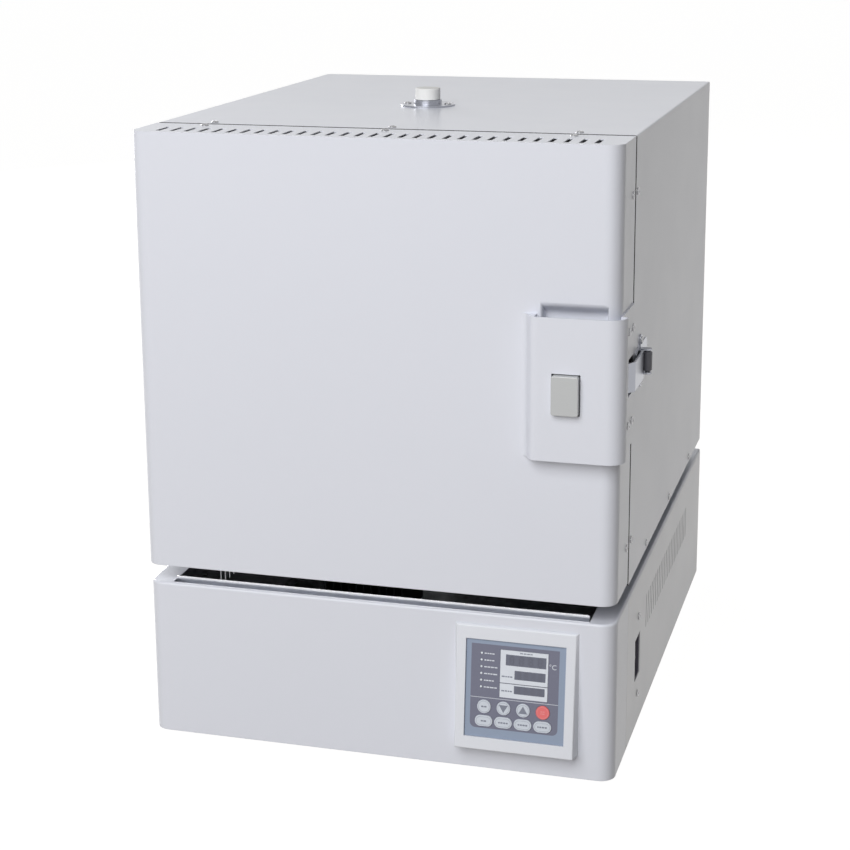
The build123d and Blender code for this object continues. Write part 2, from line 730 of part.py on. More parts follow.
def heater_side(side):
    """Grooved heater plate at one side of the chamber."""
    inner, outer = sorted((side * chamber_width / 2, side * (chamber_width / 2 + heater_thickness)))
    z0, z1 = chamber_z0 - hearth_thickness, chamber_z1 + heater_thickness
    plate = block(inner, outer, chamber_y0, chamber_y1, z0, z1)
    x = side * (chamber_width / 2 + element_recess)
    end = element_end - fit_gap
    for z in element_rows(chamber_height):
        plate -= rod((x, chamber_y0 + end, chamber_z + z), (0, 1, 0), element_radius + fit_gap,
                     chamber_depth - 2 * end)
    return plate


def heater_roof():
    """Grooved heater plate over the chamber, with the exhaust's hole."""
    x_half = chamber_width / 2
    plate = block(-x_half, x_half, chamber_y0, chamber_y1, chamber_z1, chamber_z1 + heater_thickness)
    plate -= rod((port_x, port_y, chamber_z1 - 1), (0, 0, 1), tube_bore, heater_thickness + 2)
    return plate


def hearth():
    """Ceramic floor plate of the chamber."""
    x_half = chamber_width / 2
    plate = block(-x_half, x_half, chamber_y0, chamber_y1, chamber_z0 - hearth_thickness, chamber_z0)
    return chamfer(plate.edges().filter_by(Axis.X).group_by(Axis.Z)[-1], 2.0)


def heating_elements():
    """Straight heating elements lying in the grooves of the two side plates."""
    rods = []
    for side in (-1, 1):
        x = side * (chamber_width / 2 + element_recess)
        for z in element_rows(chamber_height):
            rods.append(rod((x, chamber_y0 + element_end, chamber_z + z), (0, 1, 0), element_radius,
                            chamber_depth - 2 * element_end))
    return Compound(children=rods)


def thermocouple():
    """Ceramic sheath through the back of the lining, with its terminal head."""
    z = chamber_z1 - sheath_drop
    y0 = chamber_y1 - sheath_reach
    sheath = rod((0, y0, z), (0, 1, 0), sheath_radius, casing_y1 - y0)
    tip = sheath.edges().group_by(Axis.Y)[0]
    return fillet(tip, sheath_radius * 0.6) + rod((0, casing_y1, z), (0, 1, 0), head_radius, head_length)


def thermocouple_cover():
    """Folded cover over the thermocouple's head."""
    z = chamber_z1 - sheath_drop
    x_half, z_half = cover_width / 2, cover_height / 2
    cover = block(-x_half, x_half, casing_y1, casing_y1 + cover_stand, z - z_half, z + z_half)
    cover = fillet(cover.edges().filter_by(Axis.Z).group_by(Axis.Y)[-1], 3.0)
    return cover - block(sheet - x_half, x_half - sheet, casing_y1 - 1, casing_y1 + cover_stand - sheet,
                         z - z_half + sheet, z + z_half - sheet)


# ------------------------------------------------------------------ exhaust port
def exhaust_tube():
    """Ceramic tube from the roof heater to the collar's rim."""
    z0 = chamber_z1 + heater_thickness
    z1 = top_z + port_flange_sheet + collar_height
    return rod((port_x, port_y, z0), (0, 0, 1), tube_radius, z1 - z0) - rod(
        (port_x, port_y, z0 - 1), (0, 0, 1), tube_bore, z1 - z0 + 2)


def exhaust_flange():
    """Round steel flange with its collar, screwed to the casing's top."""
    flange = rod((port_x, port_y, top_z), (0, 0, 1), port_flange_radius, port_flange_sheet)
    collar = rod((port_x, port_y, top_z), (0, 0, 1), collar_radius, port_flange_sheet + collar_height)
    bore = rod((port_x, port_y, top_z - 1), (0, 0, 1), tube_radius + fit_gap, 20)
    return flange + collar - bore - holes_at(port_screws)


def exhaust_plug():
    """Loose ceramic stopper: a cap on the collar and a stem in the tube."""
    seat = top_z + port_flange_sheet + collar_height + fit_gap
    cap = rod((port_x, port_y, seat), (0, 0, 1), plug_radius, plug_height)
    cap = chamfer(cap.edges().group_by(Axis.Z)[-1], 1.2)
    return cap + rod((port_x, port_y, seat - plug_stem), (0, 0, 1), tube_bore - 0.5, plug_stem)


# ------------------------------------------------------------------ door
def pocket(grow):
    """Finger pocket pressed into the door behind the grip, its ends and its top running out softly.

    It is larger all round by grow, the sheet it is made of.
    """
    lip, back = front_y - pocket_lip, front_y + pocket_depth + grow
    top, floor = base_z0 + grip_top + pocket_rise + grow, base_z0 + grip_floor - grow
    left, right = pocket_left - grow, pocket_right + grow
    plan = Spline((left - pocket_ramp, lip), (left, back), tangents=[(1, 0), (1, 0)])
    plan += Line((left, back), (right, back))
    plan += Spline((right, back), (right + pocket_ramp, lip), tangents=[(1, 0), (1, 0)])
    plan += Line((right + pocket_ramp, lip), (left - pocket_ramp, lip))
    side = Spline((lip, top), (back, top - pocket_slope), tangents=[(0, -1), (0, -1)])
    side += Polyline((back, top - pocket_slope), (back, floor), (lip, floor), (lip, top))
    upright_scoop = extrude(Pos(0, 0, floor) * make_face(plan), amount=top - floor)
    return upright_scoop & extrude(Plane.YZ * make_face(side), amount=half)


def air_slots(z):
    """Cutters for the row of air slots through the door's top or bottom."""
    y0 = front_y + slot_front
    places = [(i - (slot_count - 1) / 2) * slot_pitch for i in range(slot_count)]
    return [block(x - slot_width / 2, x + slot_width / 2, y0, y0 + slot_length, z - 5, z + 5) for x in places]


def notch(grow, x0, x1):
    """Cut in the door's right side that the latch hook comes out of."""
    y0, z_half = door_y1 - notch_depth - grow, notch_height / 2 + grow
    return block(x0, x1, y0, door_y1 + 1, latch_level - z_half, latch_level + z_half)


def door_shell():
    """Folded outer skin with its air slots and latch notch, and the finger pocket's pressed cup in it."""
    shell = front_rounded(half, front_y, door_y1, corner_radius, door_z0, top_z)
    inside = front_rounded(half - sheet, front_y + sheet, door_y1 + 1, corner_radius - sheet,
                           door_z0 + sheet, top_z - sheet)
    shell = shell - (inside - pocket(sheet)) - pocket(0)
    shell = shell - air_slots(door_z0) - air_slots(top_z)
    shell -= notch(0, half - 5, half + 5)
    shell -= rod((button_x, front_y - 5, base_z0 + button_z), (0, 1, 0), stem_radius + 1, 12)
    shell = shell - holes_at(door_screws + grip_screws)
    edge = pocket_ramp + sheet
    cup = block(pocket_left - edge, pocket_right + edge, front_y - 1, front_y + pocket_depth + sheet + 1,
                base_z0 + grip_floor - sheet, base_z0 + grip_top + pocket_rise + sheet)
    return Compound(children=[shell - cup, shell & cup])


def door_liner():
    """Inner panel of the door, round the plug."""
    x_half = half - sheet - fit_gap
    liner = ring_plate(door_y1 - sheet, door_y1, x_half, door_z0 + sheet + fit_gap, top_z - sheet - fit_gap,
                       throat_half - plug_clearance + fit_gap, throat_z0 + plug_clearance - fit_gap,
                       throat_z1 - plug_clearance + fit_gap)
    return liner - notch(1, half - 30, half + 5)


def door_plug():
    """Insulating block that enters the throat, its rear edges chamfered for the swing."""
    x_half = throat_half - plug_clearance
    plug = block(-x_half, x_half, front_y + plug_back, door_y1 + plug_entry,
                 throat_z0 + plug_clearance, throat_z1 - plug_clearance)
    return chamfer(plug.faces().sort_by(Axis.Y)[-1].edges(), plug_chamfer)


def door_gasket():
    """Flat rope seal on the liner, round the throat."""
    inner_w = 2 * (throat_half + gasket_offset)
    inner_h = throat_z1 - throat_z0 + 2 * gasket_offset
    sketch = RectangleRounded(inner_w + 2 * gasket_width, inner_h + 2 * gasket_width, 18)
    sketch -= RectangleRounded(inner_w, inner_h, 6)
    return extrude(upright(0, door_y1, chamber_z) * sketch, amount=door_gap - fit_gap)


def grip_path():
    """Outer line of the grip in plan: S-curve, flat front, bulged corner, hairpin, side flange."""
    y_out = front_y - grip_stand
    x_out = half + grip_bulge
    turn = hairpin_radius
    rise = Spline((grip_left, front_y), (grip_left + grip_rise_width, y_out), tangents=[(1, 0), (1, 0)])
    flat = Line((grip_left + grip_rise_width, y_out), (x_out - grip_corner, y_out))
    corner = RadiusArc((x_out - grip_corner, y_out), (x_out, y_out + grip_corner), -grip_corner)
    hairpin = RadiusArc((x_out, y_out + grip_corner), (x_out - turn, y_out + grip_corner + turn), -turn)
    back = Line((x_out - turn, y_out + grip_corner + turn), (half + grip_sheet, y_out + grip_corner + turn))
    flange = Line((half + grip_sheet, y_out + grip_corner + turn), (half + grip_sheet, door_y1))
    return rise + flat + corner + hairpin + back + flange


def grip_section():
    """Plan of everything between the grip's outer line and the door."""
    outer = grip_path()
    close = Polyline((half + grip_sheet, door_y1), (half, door_y1), (half, front_y + corner_radius),
                     (half - corner_radius, front_y), (grip_left, front_y))
    return make_face(outer + close)


def grip():
    """Sheet grip wrapped round the door's edge: open finger pocket above, button housing below."""
    z0, z1, floor = (base_z0 + level for level in (grip_bottom, grip_top, grip_floor))
    whole = extrude(Pos(0, 0, z0) * grip_section(), amount=z1 - z0)
    hollow = grip_hollow()
    upper = extrude(Pos(0, 0, floor) * hollow, amount=z1 - floor + 1)
    lower = extrude(Pos(0, 0, z0 + grip_sheet) * hollow, amount=floor - z0 - 2 * grip_sheet)
    body = whole - upper - lower
    body -= front_rounded(half, front_y, door_y1, corner_radius, door_z0, top_z)
    body -= notch(0, half - 5, half + 10)
    x_half, z_half, z_mid = button_width / 2 + button_gap, button_height / 2 + button_gap, base_z0 + button_z
    body -= block(button_x - x_half, button_x + x_half, front_y - grip_stand - 1,
                  front_y - grip_stand + grip_sheet + 1, z_mid - z_half, z_mid + z_half)
    return body - holes_at(grip_screws)


def grip_hollow():
    """Plan of the space inside the grip, up to the door's rounded corner."""
    x0 = grip_left + grip_rise_width * 0.82
    x1 = half + grip_bulge - grip_sheet
    y0 = front_y - grip_stand + grip_sheet
    radius = grip_corner - grip_sheet
    turn = hairpin_radius - grip_sheet
    outline = Line((x0, y0), (x1 - radius, y0))
    outline += RadiusArc((x1 - radius, y0), (x1, y0 + radius), -radius)
    outline += Polyline((x1, y0 + radius), (x1 - turn, y0 + radius + turn), (half, y0 + radius + turn),
                        (half, front_y + corner_radius), (x0, front_y + corner_radius), (x0, y0))
    return make_face(outline)


def button():
    """Push button in the grip's face, with a stem through the door's skin to the latch."""
    y0 = front_y - grip_stand - button_stand
    z = base_z0 + button_z
    cap = block(button_x - button_width / 2, button_x + button_width / 2, y0, y0 + button_thickness,
                z - button_height / 2, z + button_height / 2)
    cap = fillet(cap.edges().filter_by(Axis.Y), 3.0)
    cap = fillet(cap.edges().group_by(Axis.Y)[0], 1.0)
    stem_y0, lever_front = y0 + button_thickness / 2, pivot_y - hook_sheet
    stem = rod((button_x, stem_y0, z), (0, 1, 0), stem_radius, lever_front - fit_gap - stem_y0)
    return cap + fillet(stem.edges().group_by(Axis.Y)[-1], stem_radius - 0.5)


def hook_plan():
    """Plan of the latch lever: arm to the button's stem, hub, and arm out to the keeper."""
    x_in = half + hook_stand
    x_out = x_in + hook_sheet
    nose_y = roller_y - roller_radius - nose_gap
    arm_x, arm_y = button_x - 6, pivot_y - hook_sheet
    outline = Polyline((arm_x, arm_y), (hook_pivot_x, arm_y), (hook_pivot_x + 10, pivot_y + 16),
                       (x_out, door_y1 - 12), (x_out, nose_y), (x_in - nose_lip, nose_y),
                       (x_in - nose_lip, nose_y - 4), (x_in, nose_y - 5), (x_in, door_y1 - 11),
                       (hook_pivot_x + 6, pivot_y + 19), (hook_pivot_x - 3, pivot_y), (arm_x, pivot_y),
                       close=True)
    return make_face(outline)


def latch_hook():
    """Bent latch lever on its upright pin: the button turns it and its nose swings out from the keeper."""
    pin = (hook_pivot_x, pivot_y, latch_level - hook_drop - hook_height / 2)
    hook = extrude(Pos(0, 0, pin[2]) * hook_plan(), amount=hook_height)
    hook += rod(pin, (0, 0, 1), hook_pin_radius + 3, hook_height)
    return hook - rod(pin, (0, 0, 1), hook_pin_radius + running_gap, hook_height)


def latch_bracket():
    """Fork inside the door that holds the latch lever's pin, hung from the door's side."""
    z_mid, z_half = latch_level - hook_drop, hook_height / 2 + fit_gap
    z0, z1 = z_mid - z_half, z_mid + z_half
    x1 = half - sheet
    fork = block(hook_pivot_x - 9, x1, pivot_y - 9, pivot_y + 9, z0 - 3, z0)
    fork += block(hook_pivot_x - 9, x1, pivot_y - 9, pivot_y + 9, z1, z1 + 3)
    fork += rod((hook_pivot_x, pivot_y, z0 - 3), (0, 0, 1), hook_pin_radius, z1 - z0 + 6)
    return fork


def keeper():
    """Stainless keeper on the casing's side: backing plate, strap and two ears with the roller's pin."""
    side_plane = Plane(origin=(half, roller_y, latch_level), x_dir=(0, 1, 0), z_dir=(1, 0, 0))
    plate = Pos(keeper_plate_offset, 0) * RectangleRounded(keeper_plate_width, keeper_plate_height, 9)
    strap_height = keeper_screw_spacing + keeper_strap_width + 3
    strap = RectangleRounded(keeper_strap_width, strap_height, keeper_strap_width / 2 - 0.1)
    body = extrude(side_plane * plate, amount=keeper_sheet / 2)
    body += extrude(side_plane * strap, amount=keeper_sheet)
    ear = roller_height / 2 + fit_gap
    for side in (-1, 1):
        z0, z1 = sorted((latch_level + side * ear, latch_level + side * (ear + keeper_sheet)))
        body += block(half, roller_x, roller_y - 5, roller_y + 5, z0, z1)
        body += rod((roller_x, roller_y, z0), (0, 0, 1), 5.0, z1 - z0)
    body += rod((roller_x, roller_y, latch_level - ear), (0, 0, 1), roller_pin_radius, 2 * ear)
    return body - holes_at(keeper_screws)


def keeper_roller():
    """Chamfered roller on the keeper's pin."""
    start = (roller_x, roller_y, latch_level - roller_height / 2)
    roller = rod(start, (0, 0, 1), roller_radius, roller_height)
    roller = chamfer(roller.edges().filter_by(GeomType.CIRCLE), roller_chamfer)
    return roller - rod(start, (0, 0, 1), roller_pin_radius + running_gap, roller_height)


# ------------------------------------------------------------------ hinges
def hinge_leaf(side, z_mid):
    """Leaf flat on the cabinet's left side: side -1 is the door's, +1 the casing's."""
    y_edge = hinge_y + side * (knuckle_radius + knuckle_gap)
    y0, y1 = sorted((y_edge, y_edge + side * hinge_leaf_width))
    leaf = block(-half - hinge_leaf_sheet, -half, y0, y1, z_mid - hinge_height / 2, z_mid + hinge_height / 2)
    return leaf


def knuckle_web(side, z0, z1):
    """Barrel and the short web that joins it to its leaf."""
    barrel = rod((hinge_x, hinge_y, z0), (0, 0, 1), knuckle_radius, z1 - z0)
    y0, y1 = sorted((hinge_y, hinge_y + side * (knuckle_radius + knuckle_gap + 2)))
    return barrel + block(hinge_x + 2, -half - knuckle_gap, y0, y1, z0, z1)


def hinge_door():
    """Door leaves: one middle knuckle each, bored for the pin."""
    leaves = []
    reach = hinge_height / 6
    for z in hinge_levels:
        leaf = hinge_leaf(-1, z) + knuckle_web(-1, z - reach, z + reach)
        leaves.append(leaf - rod((hinge_x, hinge_y, z - 50), (0, 0, 1), hinge_pin_radius + running_gap, 100))
    return Compound(children=leaves)


def hinge_casing():
    """Casing leaves: two outer knuckles each, with the fixed pin."""
    leaves = []
    reach = hinge_height / 6 + knuckle_gap
    for z in hinge_levels:
        leaf = hinge_leaf(1, z)
        leaf += knuckle_web(1, z + reach, z + hinge_height / 2)
        leaf += knuckle_web(1, z - hinge_height / 2, z - reach)
        leaf += rod((hinge_x, hinge_y, z - hinge_height / 2), (0, 0, 1), hinge_pin_radius, hinge_height)
        leaves.append(leaf)
    return Compound(children=leaves)


# ------------------------------------------------------------------ control panel
def bezel():
    """Tilted surround: drafted from the base's front out to its face, more at the bottom than the top."""
    foot_z0, foot_z1 = base_z0 + bezel_z - bezel_height / 2, base_z0 + bezel_z + bezel_height / 2
    foot = Plane(origin=(bezel_x, base_y0, (foot_z0 + foot_z1) / 2), x_dir=(1, 0, 0), z_dir=(0, -1, 0))
    face_height = sqrt(bezel_height ** 2 + (bezel_bottom_stand - bezel_top_stand) ** 2)
    footprint = foot * Rectangle(bezel_width, bezel_height)
    face = panel * Rectangle(bezel_width - 2 * bezel_draft, face_height - bezel_draft)
    body = loft([footprint, face], ruled=True)
    front = body.faces().sort_by(Axis.Y)[0]
    body = fillet(front.edges(), bezel_edge_radius)
    return body - extrude(panel.offset(1) * Rectangle(window_width, window_height), amount=-60)


def key_centres():
    """Name and place of each key on the panel's face: a round row over an oblong row."""
    places = []
    for column in range(4):
        u = key_row_x + (column - 1.5) * key_pitch
        places.append((f"key_round_{column + 1}", u, round_row, False))
        places.append((f"key_oblong_{column + 1}", u, oblong_row, True))
    return places


def key_outline(oblong, grow):
    """Outline of a key's cap, larger all round by grow."""
    if oblong:
        return SlotOverall(oblong_width + 2 * grow, oblong_height + 2 * grow)
    return Circle(key_radius + grow)


def fascia():
    """Panel sheet seated in the bezel's window, pierced for the keys, displays and lamps."""
    sheet_plane = panel.offset(-fascia_recess - fascia_sheet)
    sketch = Rectangle(window_width - 2 * fit_gap, window_height - 2 * fit_gap)
    for _, u, w, oblong in key_centres():
        sketch -= Pos(u, w) * key_outline(oblong, fit_gap)
    for u0, u1, w0, w1 in display_panes():
        sketch -= Pos((u0 + u1) / 2, (w0 + w1) / 2) * Rectangle(u1 - u0 + 2 * fit_gap, w1 - w0 + 2 * fit_gap)
    for i in range(lens_count):
        sketch -= Pos(lens_x, lens_top - i * lens_pitch) * Circle(lens_radius + fit_gap)
    return extrude(sheet_plane * sketch, amount=fascia_sheet)


def display_panes():
    """Two display blocks, one over the other: left, right, bottom, top on the panel's face."""
    return [(display_left, display_right, display_split + display_frame / 2, display_top),
            (display_left, display_right, display_bottom, display_split - display_frame / 2)]


def back_plane():
    """Front of the circuit board, behind the keys' rims and their travel."""
    depth = fascia_recess + fascia_sheet + fit_gap + key_rim_sheet + key_travel + fit_gap
    return panel.offset(-depth)


def display_blocks():
    """Display blocks from the board to just proud of the fascia."""
    depth = fascia_sheet + 3 * fit_gap + key_rim_sheet + key_travel
    blocks = []
    for u0, u1, w0, w1 in display_panes():
        sketch = Pos((u0 + u1) / 2, (w0 + w1) / 2) * Rectangle(u1 - u0, w1 - w0)
        blocks.append(extrude(back_plane() * sketch, amount=depth))
    return Compound(children=blocks)


def lamp_lenses():
    """Row of small indicator lamps."""
    depth = fascia_sheet + 3 * fit_gap + key_rim_sheet + key_travel
    lenses = []
    for i in range(lens_count):
        sketch = Pos(lens_x, lens_top - i * lens_pitch) * Circle(lens_radius)
        lenses.append(extrude(back_plane() * sketch, amount=depth))
    return Compound(children=lenses)


def key(u, w, oblong):
    """Key cap with a rim behind the fascia."""
    cap_plane = panel.offset(-fascia_recess - fascia_sheet - fit_gap)
    cap = extrude(cap_plane * Pos(u, w) * key_outline(oblong, 0), amount=fascia_sheet + fit_gap + key_stand)
    cap = chamfer(cap.faces().sort_by(Axis.Y)[0].edges(), 0.4)
    rim = extrude(cap_plane * Pos(u, w) * key_outline(oblong, key_rim), amount=-key_rim_sheet)
    return cap + rim


def circuit_board():
    """Controller board across the back of the bezel's window."""
    sketch = Rectangle(window_width - board_margin, window_height - board_margin)
    board = extrude(back_plane() * sketch, amount=-board_sheet)
    for u, w in ((-50, -50), (50, -50), (-50, 50), (50, 50)):
        post = back_plane() * Pos(u, w) * Circle(3)
        board += extrude(post, amount=2 * fit_gap + key_rim_sheet + key_travel)
    return board


# ------------------------------------------------------------------ all pieces
pieces = {
    "base_cover": base_cover(),
    "base_side_right": base_side(1),
    "base_side_left": base_side(-1),
    "base_rear": base_rear(),
    "base_tray": base_tray(),
    "feet": feet(),
    "neck": neck(),
    "sill_strip": sill_strip(),
    "switch_pan": switch_pan(),
    "breaker_body": breaker_body(),
    "breaker_lever": breaker_lever(),
    "fan_housing": fan_housing(),
    "fan_rotor": fan_rotor(),
    "cable_gland": cable_gland(),
    "terminal_block": terminal_block(),
    "relay_heatsink": relay_heatsink(),
    "casing_cover": casing_cover(),
    "casing_floor": casing_floor(),
    "casing_rear": casing_rear(),
    "front_frame": front_frame(),
    "inner_casing": inner_casing(),
    "lining_rails": lining_rails(),
    "throat_ring": throat_ring(),
    "lining_boards": Compound(children=[roof_board(), floor_board(), side_board(-1), side_board(1)]),
    "rear_lining": rear_lining(),
    "heater_plates": Compound(children=[heater_side(-1), heater_side(1), heater_roof()]),
    "hearth": hearth(),
    "heating_elements": heating_elements(),
    "thermocouple": thermocouple(),
    "thermocouple_cover": thermocouple_cover(),
    "exhaust_tube": exhaust_tube(),
    "exhaust_flange": exhaust_flange(),
    "exhaust_plug": exhaust_plug(),
    "cabinet_screws": screws_at(cabinet_screws),
    "keeper": keeper(),
    "keeper_roller": keeper_roller(),
    "hinge_casing": hinge_casing(),
    "hinge_door": hinge_door(),
    "door_shell": door_shell(),
    "door_liner": door_liner(),
    "door_plug": door_plug(),
    "door_gasket": door_gasket(),
    "door_screws": screws_at(door_screws + grip_screws),
    "grip": grip(),
    "button": button(),
    "latch_bracket": latch_bracket(),
    "latch_hook": latch_hook(),
    "bezel": bezel(),
    "fascia": fascia(),
    "display_blocks": display_blocks(),
    "lamp_lenses": lamp_lenses(),
    "circuit_board": circuit_board(),
}
for name, u, w, oblong in key_centres():
    pieces[name] = key(u, w, oblong)

for name, shape in pieces.items():
    save(name, shape)
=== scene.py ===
import json
from math import atan2, cos, pi, radians, sin, tau

import bmesh
import bpy
import numpy as np
from mathutils import Matrix, Vector


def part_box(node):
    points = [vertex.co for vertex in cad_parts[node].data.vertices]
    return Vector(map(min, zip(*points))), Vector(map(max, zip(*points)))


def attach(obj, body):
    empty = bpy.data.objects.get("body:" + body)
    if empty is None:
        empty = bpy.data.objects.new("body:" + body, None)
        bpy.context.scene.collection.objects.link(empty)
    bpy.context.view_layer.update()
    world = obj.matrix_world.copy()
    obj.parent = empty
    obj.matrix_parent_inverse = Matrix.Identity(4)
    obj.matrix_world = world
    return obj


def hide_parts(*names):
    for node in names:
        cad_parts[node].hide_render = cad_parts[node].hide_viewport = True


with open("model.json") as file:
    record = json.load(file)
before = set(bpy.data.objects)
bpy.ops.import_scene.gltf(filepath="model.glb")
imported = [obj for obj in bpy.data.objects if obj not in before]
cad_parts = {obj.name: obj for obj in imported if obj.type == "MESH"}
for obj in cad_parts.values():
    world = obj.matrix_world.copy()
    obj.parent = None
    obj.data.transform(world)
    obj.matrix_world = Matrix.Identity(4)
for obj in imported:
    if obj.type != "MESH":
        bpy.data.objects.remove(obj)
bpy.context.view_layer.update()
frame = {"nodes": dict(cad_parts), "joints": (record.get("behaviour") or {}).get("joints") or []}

# Metres, in the furnace's own frame: +X right, +Z up, the door faces -Y.
MM = 0.001
nodes = frame["nodes"]
rng = np.random.RandomState(7)


# ------------------------------------------------------------------ finishes
class Field:
    """A number that varies over a surface. Arithmetic on it adds Math nodes."""

    def __init__(self, finish, socket):
        self.finish = finish
        self.socket = socket

    def math(self, operation, *values):
        return self.finish.node("ShaderNodeMath", {"operation": operation}, dict(enumerate(values)))

    def __add__(self, other):
        return self.math("ADD", self, other)

    __radd__ = __add__

    def __sub__(self, other):
        return self.math("SUBTRACT", self, other)

    def __rsub__(self, other):
        return self.math("SUBTRACT", other, self)

    def __mul__(self, other):
        return self.math("MULTIPLY", self, other)

    __rmul__ = __mul__

    def __truediv__(self, other):
        return self.math("DIVIDE", self, other)

    def __pow__(self, other):
        return self.math("POWER", self, other)

    def __abs__(self):
        return self.math("ABSOLUTE", self)

    def above(self, low):
        return self.math("MAXIMUM", self, low)

    def below(self, high):
        return self.math("MINIMUM", self, high)

    def share(self):
        """Held between 0 and 1."""
        return self.above(0.0).below(1.0)


class Finish:
    """A material: one principled shader, its constants set on its own sockets."""

    def __init__(self, name, colour, roughness, **constants):
        self.material = bpy.data.materials.new(name)
        self.material.use_nodes = True
        self.tree = self.material.node_tree
        self.shader = self.tree.nodes["Principled BSDF"]
        self.colour = colour
        self.surface(Base_Color=colour, Roughness=roughness, **constants)
        self.place = self.node("ShaderNodeTexCoord", {}, {}, "Object")

    def feed(self, socket, value):
        """Links a field to a socket, or sets a plain value on it."""
        if isinstance(value, Field):
            self.tree.links.new(value.socket, socket)
        elif socket.type == "RGBA":
            socket.default_value = (*value, 1.0)
        else:
            socket.default_value = value

    def node(self, kind, settings, values, output=0):
        """Adds one node: its settings first, then the values or links of its sockets."""
        made = self.tree.nodes.new(kind)
        for name, value in settings.items():
            setattr(made, name, value)
        for name, value in values.items():
            self.feed(made.inputs[name], value)
        return Field(self, made.outputs[output])

    def surface(self, **values):
        for name, value in values.items():
            self.feed(self.shader.inputs[name.replace("_", " ")], value)

    def axis(self, letter):
        return self.node("ShaderNodeSeparateXYZ", {}, {0: self.place}, letter)

    def stretched(self, scale):
        """Object coordinates scaled by a different amount along each axis."""
        return self.node("ShaderNodeMapping", {}, {"Vector": self.place, "Scale": scale})

    def noise(self, per_metre, detail=2.0, stretch=None):
        """Soft noise from 0 to 1, with so many features in a metre."""
        vector = self.stretched(stretch) if stretch else self.place
        return self.node("ShaderNodeTexNoise", {},
                         {"Vector": vector, "Scale": per_metre, "Detail": detail}, "Fac")

    def cells(self, per_metre, output="Distance", feature="F1"):
        """Cell pattern: the distance to each cell's middle, or a colour of its own."""
        return self.node("ShaderNodeTexVoronoi", {"feature": feature},
                         {"Vector": self.place, "Scale": per_metre}, output)

    def mix(self, share, first, second):
        return self.node("ShaderNodeMix", {"data_type": "RGBA"}, {0: share, 6: first, 7: second}, 2)

    def tint(self, share, light=1.04, dark=0.95):
        """The finish's colour, drifting between a darker and a lighter shade of itself."""
        shades = [tuple(min(channel * factor, 1.0) for channel in self.colour) for factor in (dark, light)]
        self.surface(Base_Color=self.mix(share, *shades))

    def relief(self, height, depth, edge=0.0):
        """Bump of the given depth in metres, over edges rounded in the shading."""
        values = {"Height": height, "Distance": depth}
        if edge:
            values["Normal"] = self.node("ShaderNodeBevel", {"samples": 6}, {"Radius": edge})
        self.surface(Normal=self.node("ShaderNodeBump", {}, values))


ENAMEL = (0.706, 0.724, 0.792)
GRIP_POCKET = (0.195, 0.515, 0.612)  # left side, foot and top of the door's pressed pocket, metres


def enamel(name, colour=ENAMEL, edge=0.9 * MM, smooth=None):
    """Baked enamel on sheet: faint orange peel, slight drift of shade, semi-gloss.

    Inside the smooth region the edges aren't rounded: it is given by its left side, its foot and its
    top, and the rounding fades out over the first millimetre.
    """
    f = Finish(name, colour, 0.3, Coat_Weight=0.08, Coat_Roughness=0.2, Specular_IOR_Level=0.3)
    f.tint(f.noise(2.4, 3.0), 1.012, 0.985)
    f.surface(Roughness=0.26 + 0.09 * f.noise(19.0, 4.0))
    if smooth:
        left, foot, top = smooth
        x, z = f.axis("X"), f.axis("Z")
        inside = ((x - left) / MM).share() * ((z - foot) / MM).share() * ((top - z) / MM).share()
        edge = edge * (1.0 - inside)
    f.relief(f.noise(430.0, 2.0) + 0.35 * f.noise(1500.0, 1.0), 0.03 * MM, edge)
    return f


def brushed(name, colour, roughness, grain, edge=0.4 * MM):
    """Brushed metal: streaks fifty times longer than wide along one axis, over cloudy variation."""
    f = Finish(name, colour, roughness, Metallic=1.0)
    stretch = tuple(0.02 if axis == grain else 1.0 for axis in "XYZ")
    streaks = f.noise(2600.0, 2.0, stretch)
    clouds = f.noise(26.0, 3.0)
    f.tint((0.6 * streaks + 0.4 * clouds).share(), 1.1, 0.86)
    f.surface(Roughness=roughness - 0.06 + 0.12 * streaks)
    f.relief(streaks, 0.012 * MM, edge)
    return f


def galvanised(name, colour):
    """Zinc-coated sheet: frosted spangles, each its own shade."""
    f = Finish(name, colour, 0.45, Metallic=0.9)
    spangle = f.node("ShaderNodeSeparateColor", {}, {0: f.cells(110.0, "Color")}, "Red")
    f.tint((0.75 * spangle + 0.25 * f.noise(40.0)).share(), 1.16, 0.82)
    f.surface(Roughness=0.36 + 0.2 * spangle)
    f.relief(f.noise(700.0), 0.015 * MM, 0.5 * MM)
    return f


def plated(name, colour, roughness=0.2):
    """Bright plated steel, lightly scuffed."""
    f = Finish(name, colour, roughness, Metallic=1.0)
    scuff = f.noise(900.0, 4.0)
    f.tint(scuff, 1.08, 0.85)
    f.surface(Roughness=roughness - 0.05 + 0.16 * scuff)
    f.relief(f.noise(2200.0), 0.004 * MM, 0.15 * MM)
    return f


def moulded(name, colour, roughness, depth=0.02, grain=1100.0, edge=0.5, **constants):
    """Moulded plastic or rubber with a fine spark-eroded grain."""
    f = Finish(name, colour, roughness, **constants)
    grain = f.noise(grain, 3.0)
    f.tint((0.5 * grain + 0.5 * f.noise(14.0)).share(), 1.03, 0.96)
    f.surface(Roughness=roughness - 0.04 + 0.1 * grain)
    f.relief(grain, depth * MM, edge * MM)
    return f


def satin(name, colour):
    """Satin anodised cap: very fine horizontal grain."""
    f = Finish(name, colour, 0.42, Metallic=0.25)
    grain = f.noise(3200.0, 2.0, (0.05, 1.0, 1.0))
    f.tint(grain, 1.05, 0.95)
    f.surface(Roughness=0.36 + 0.1 * grain)
    f.relief(grain, 0.006 * MM, 0.7 * MM)
    return f


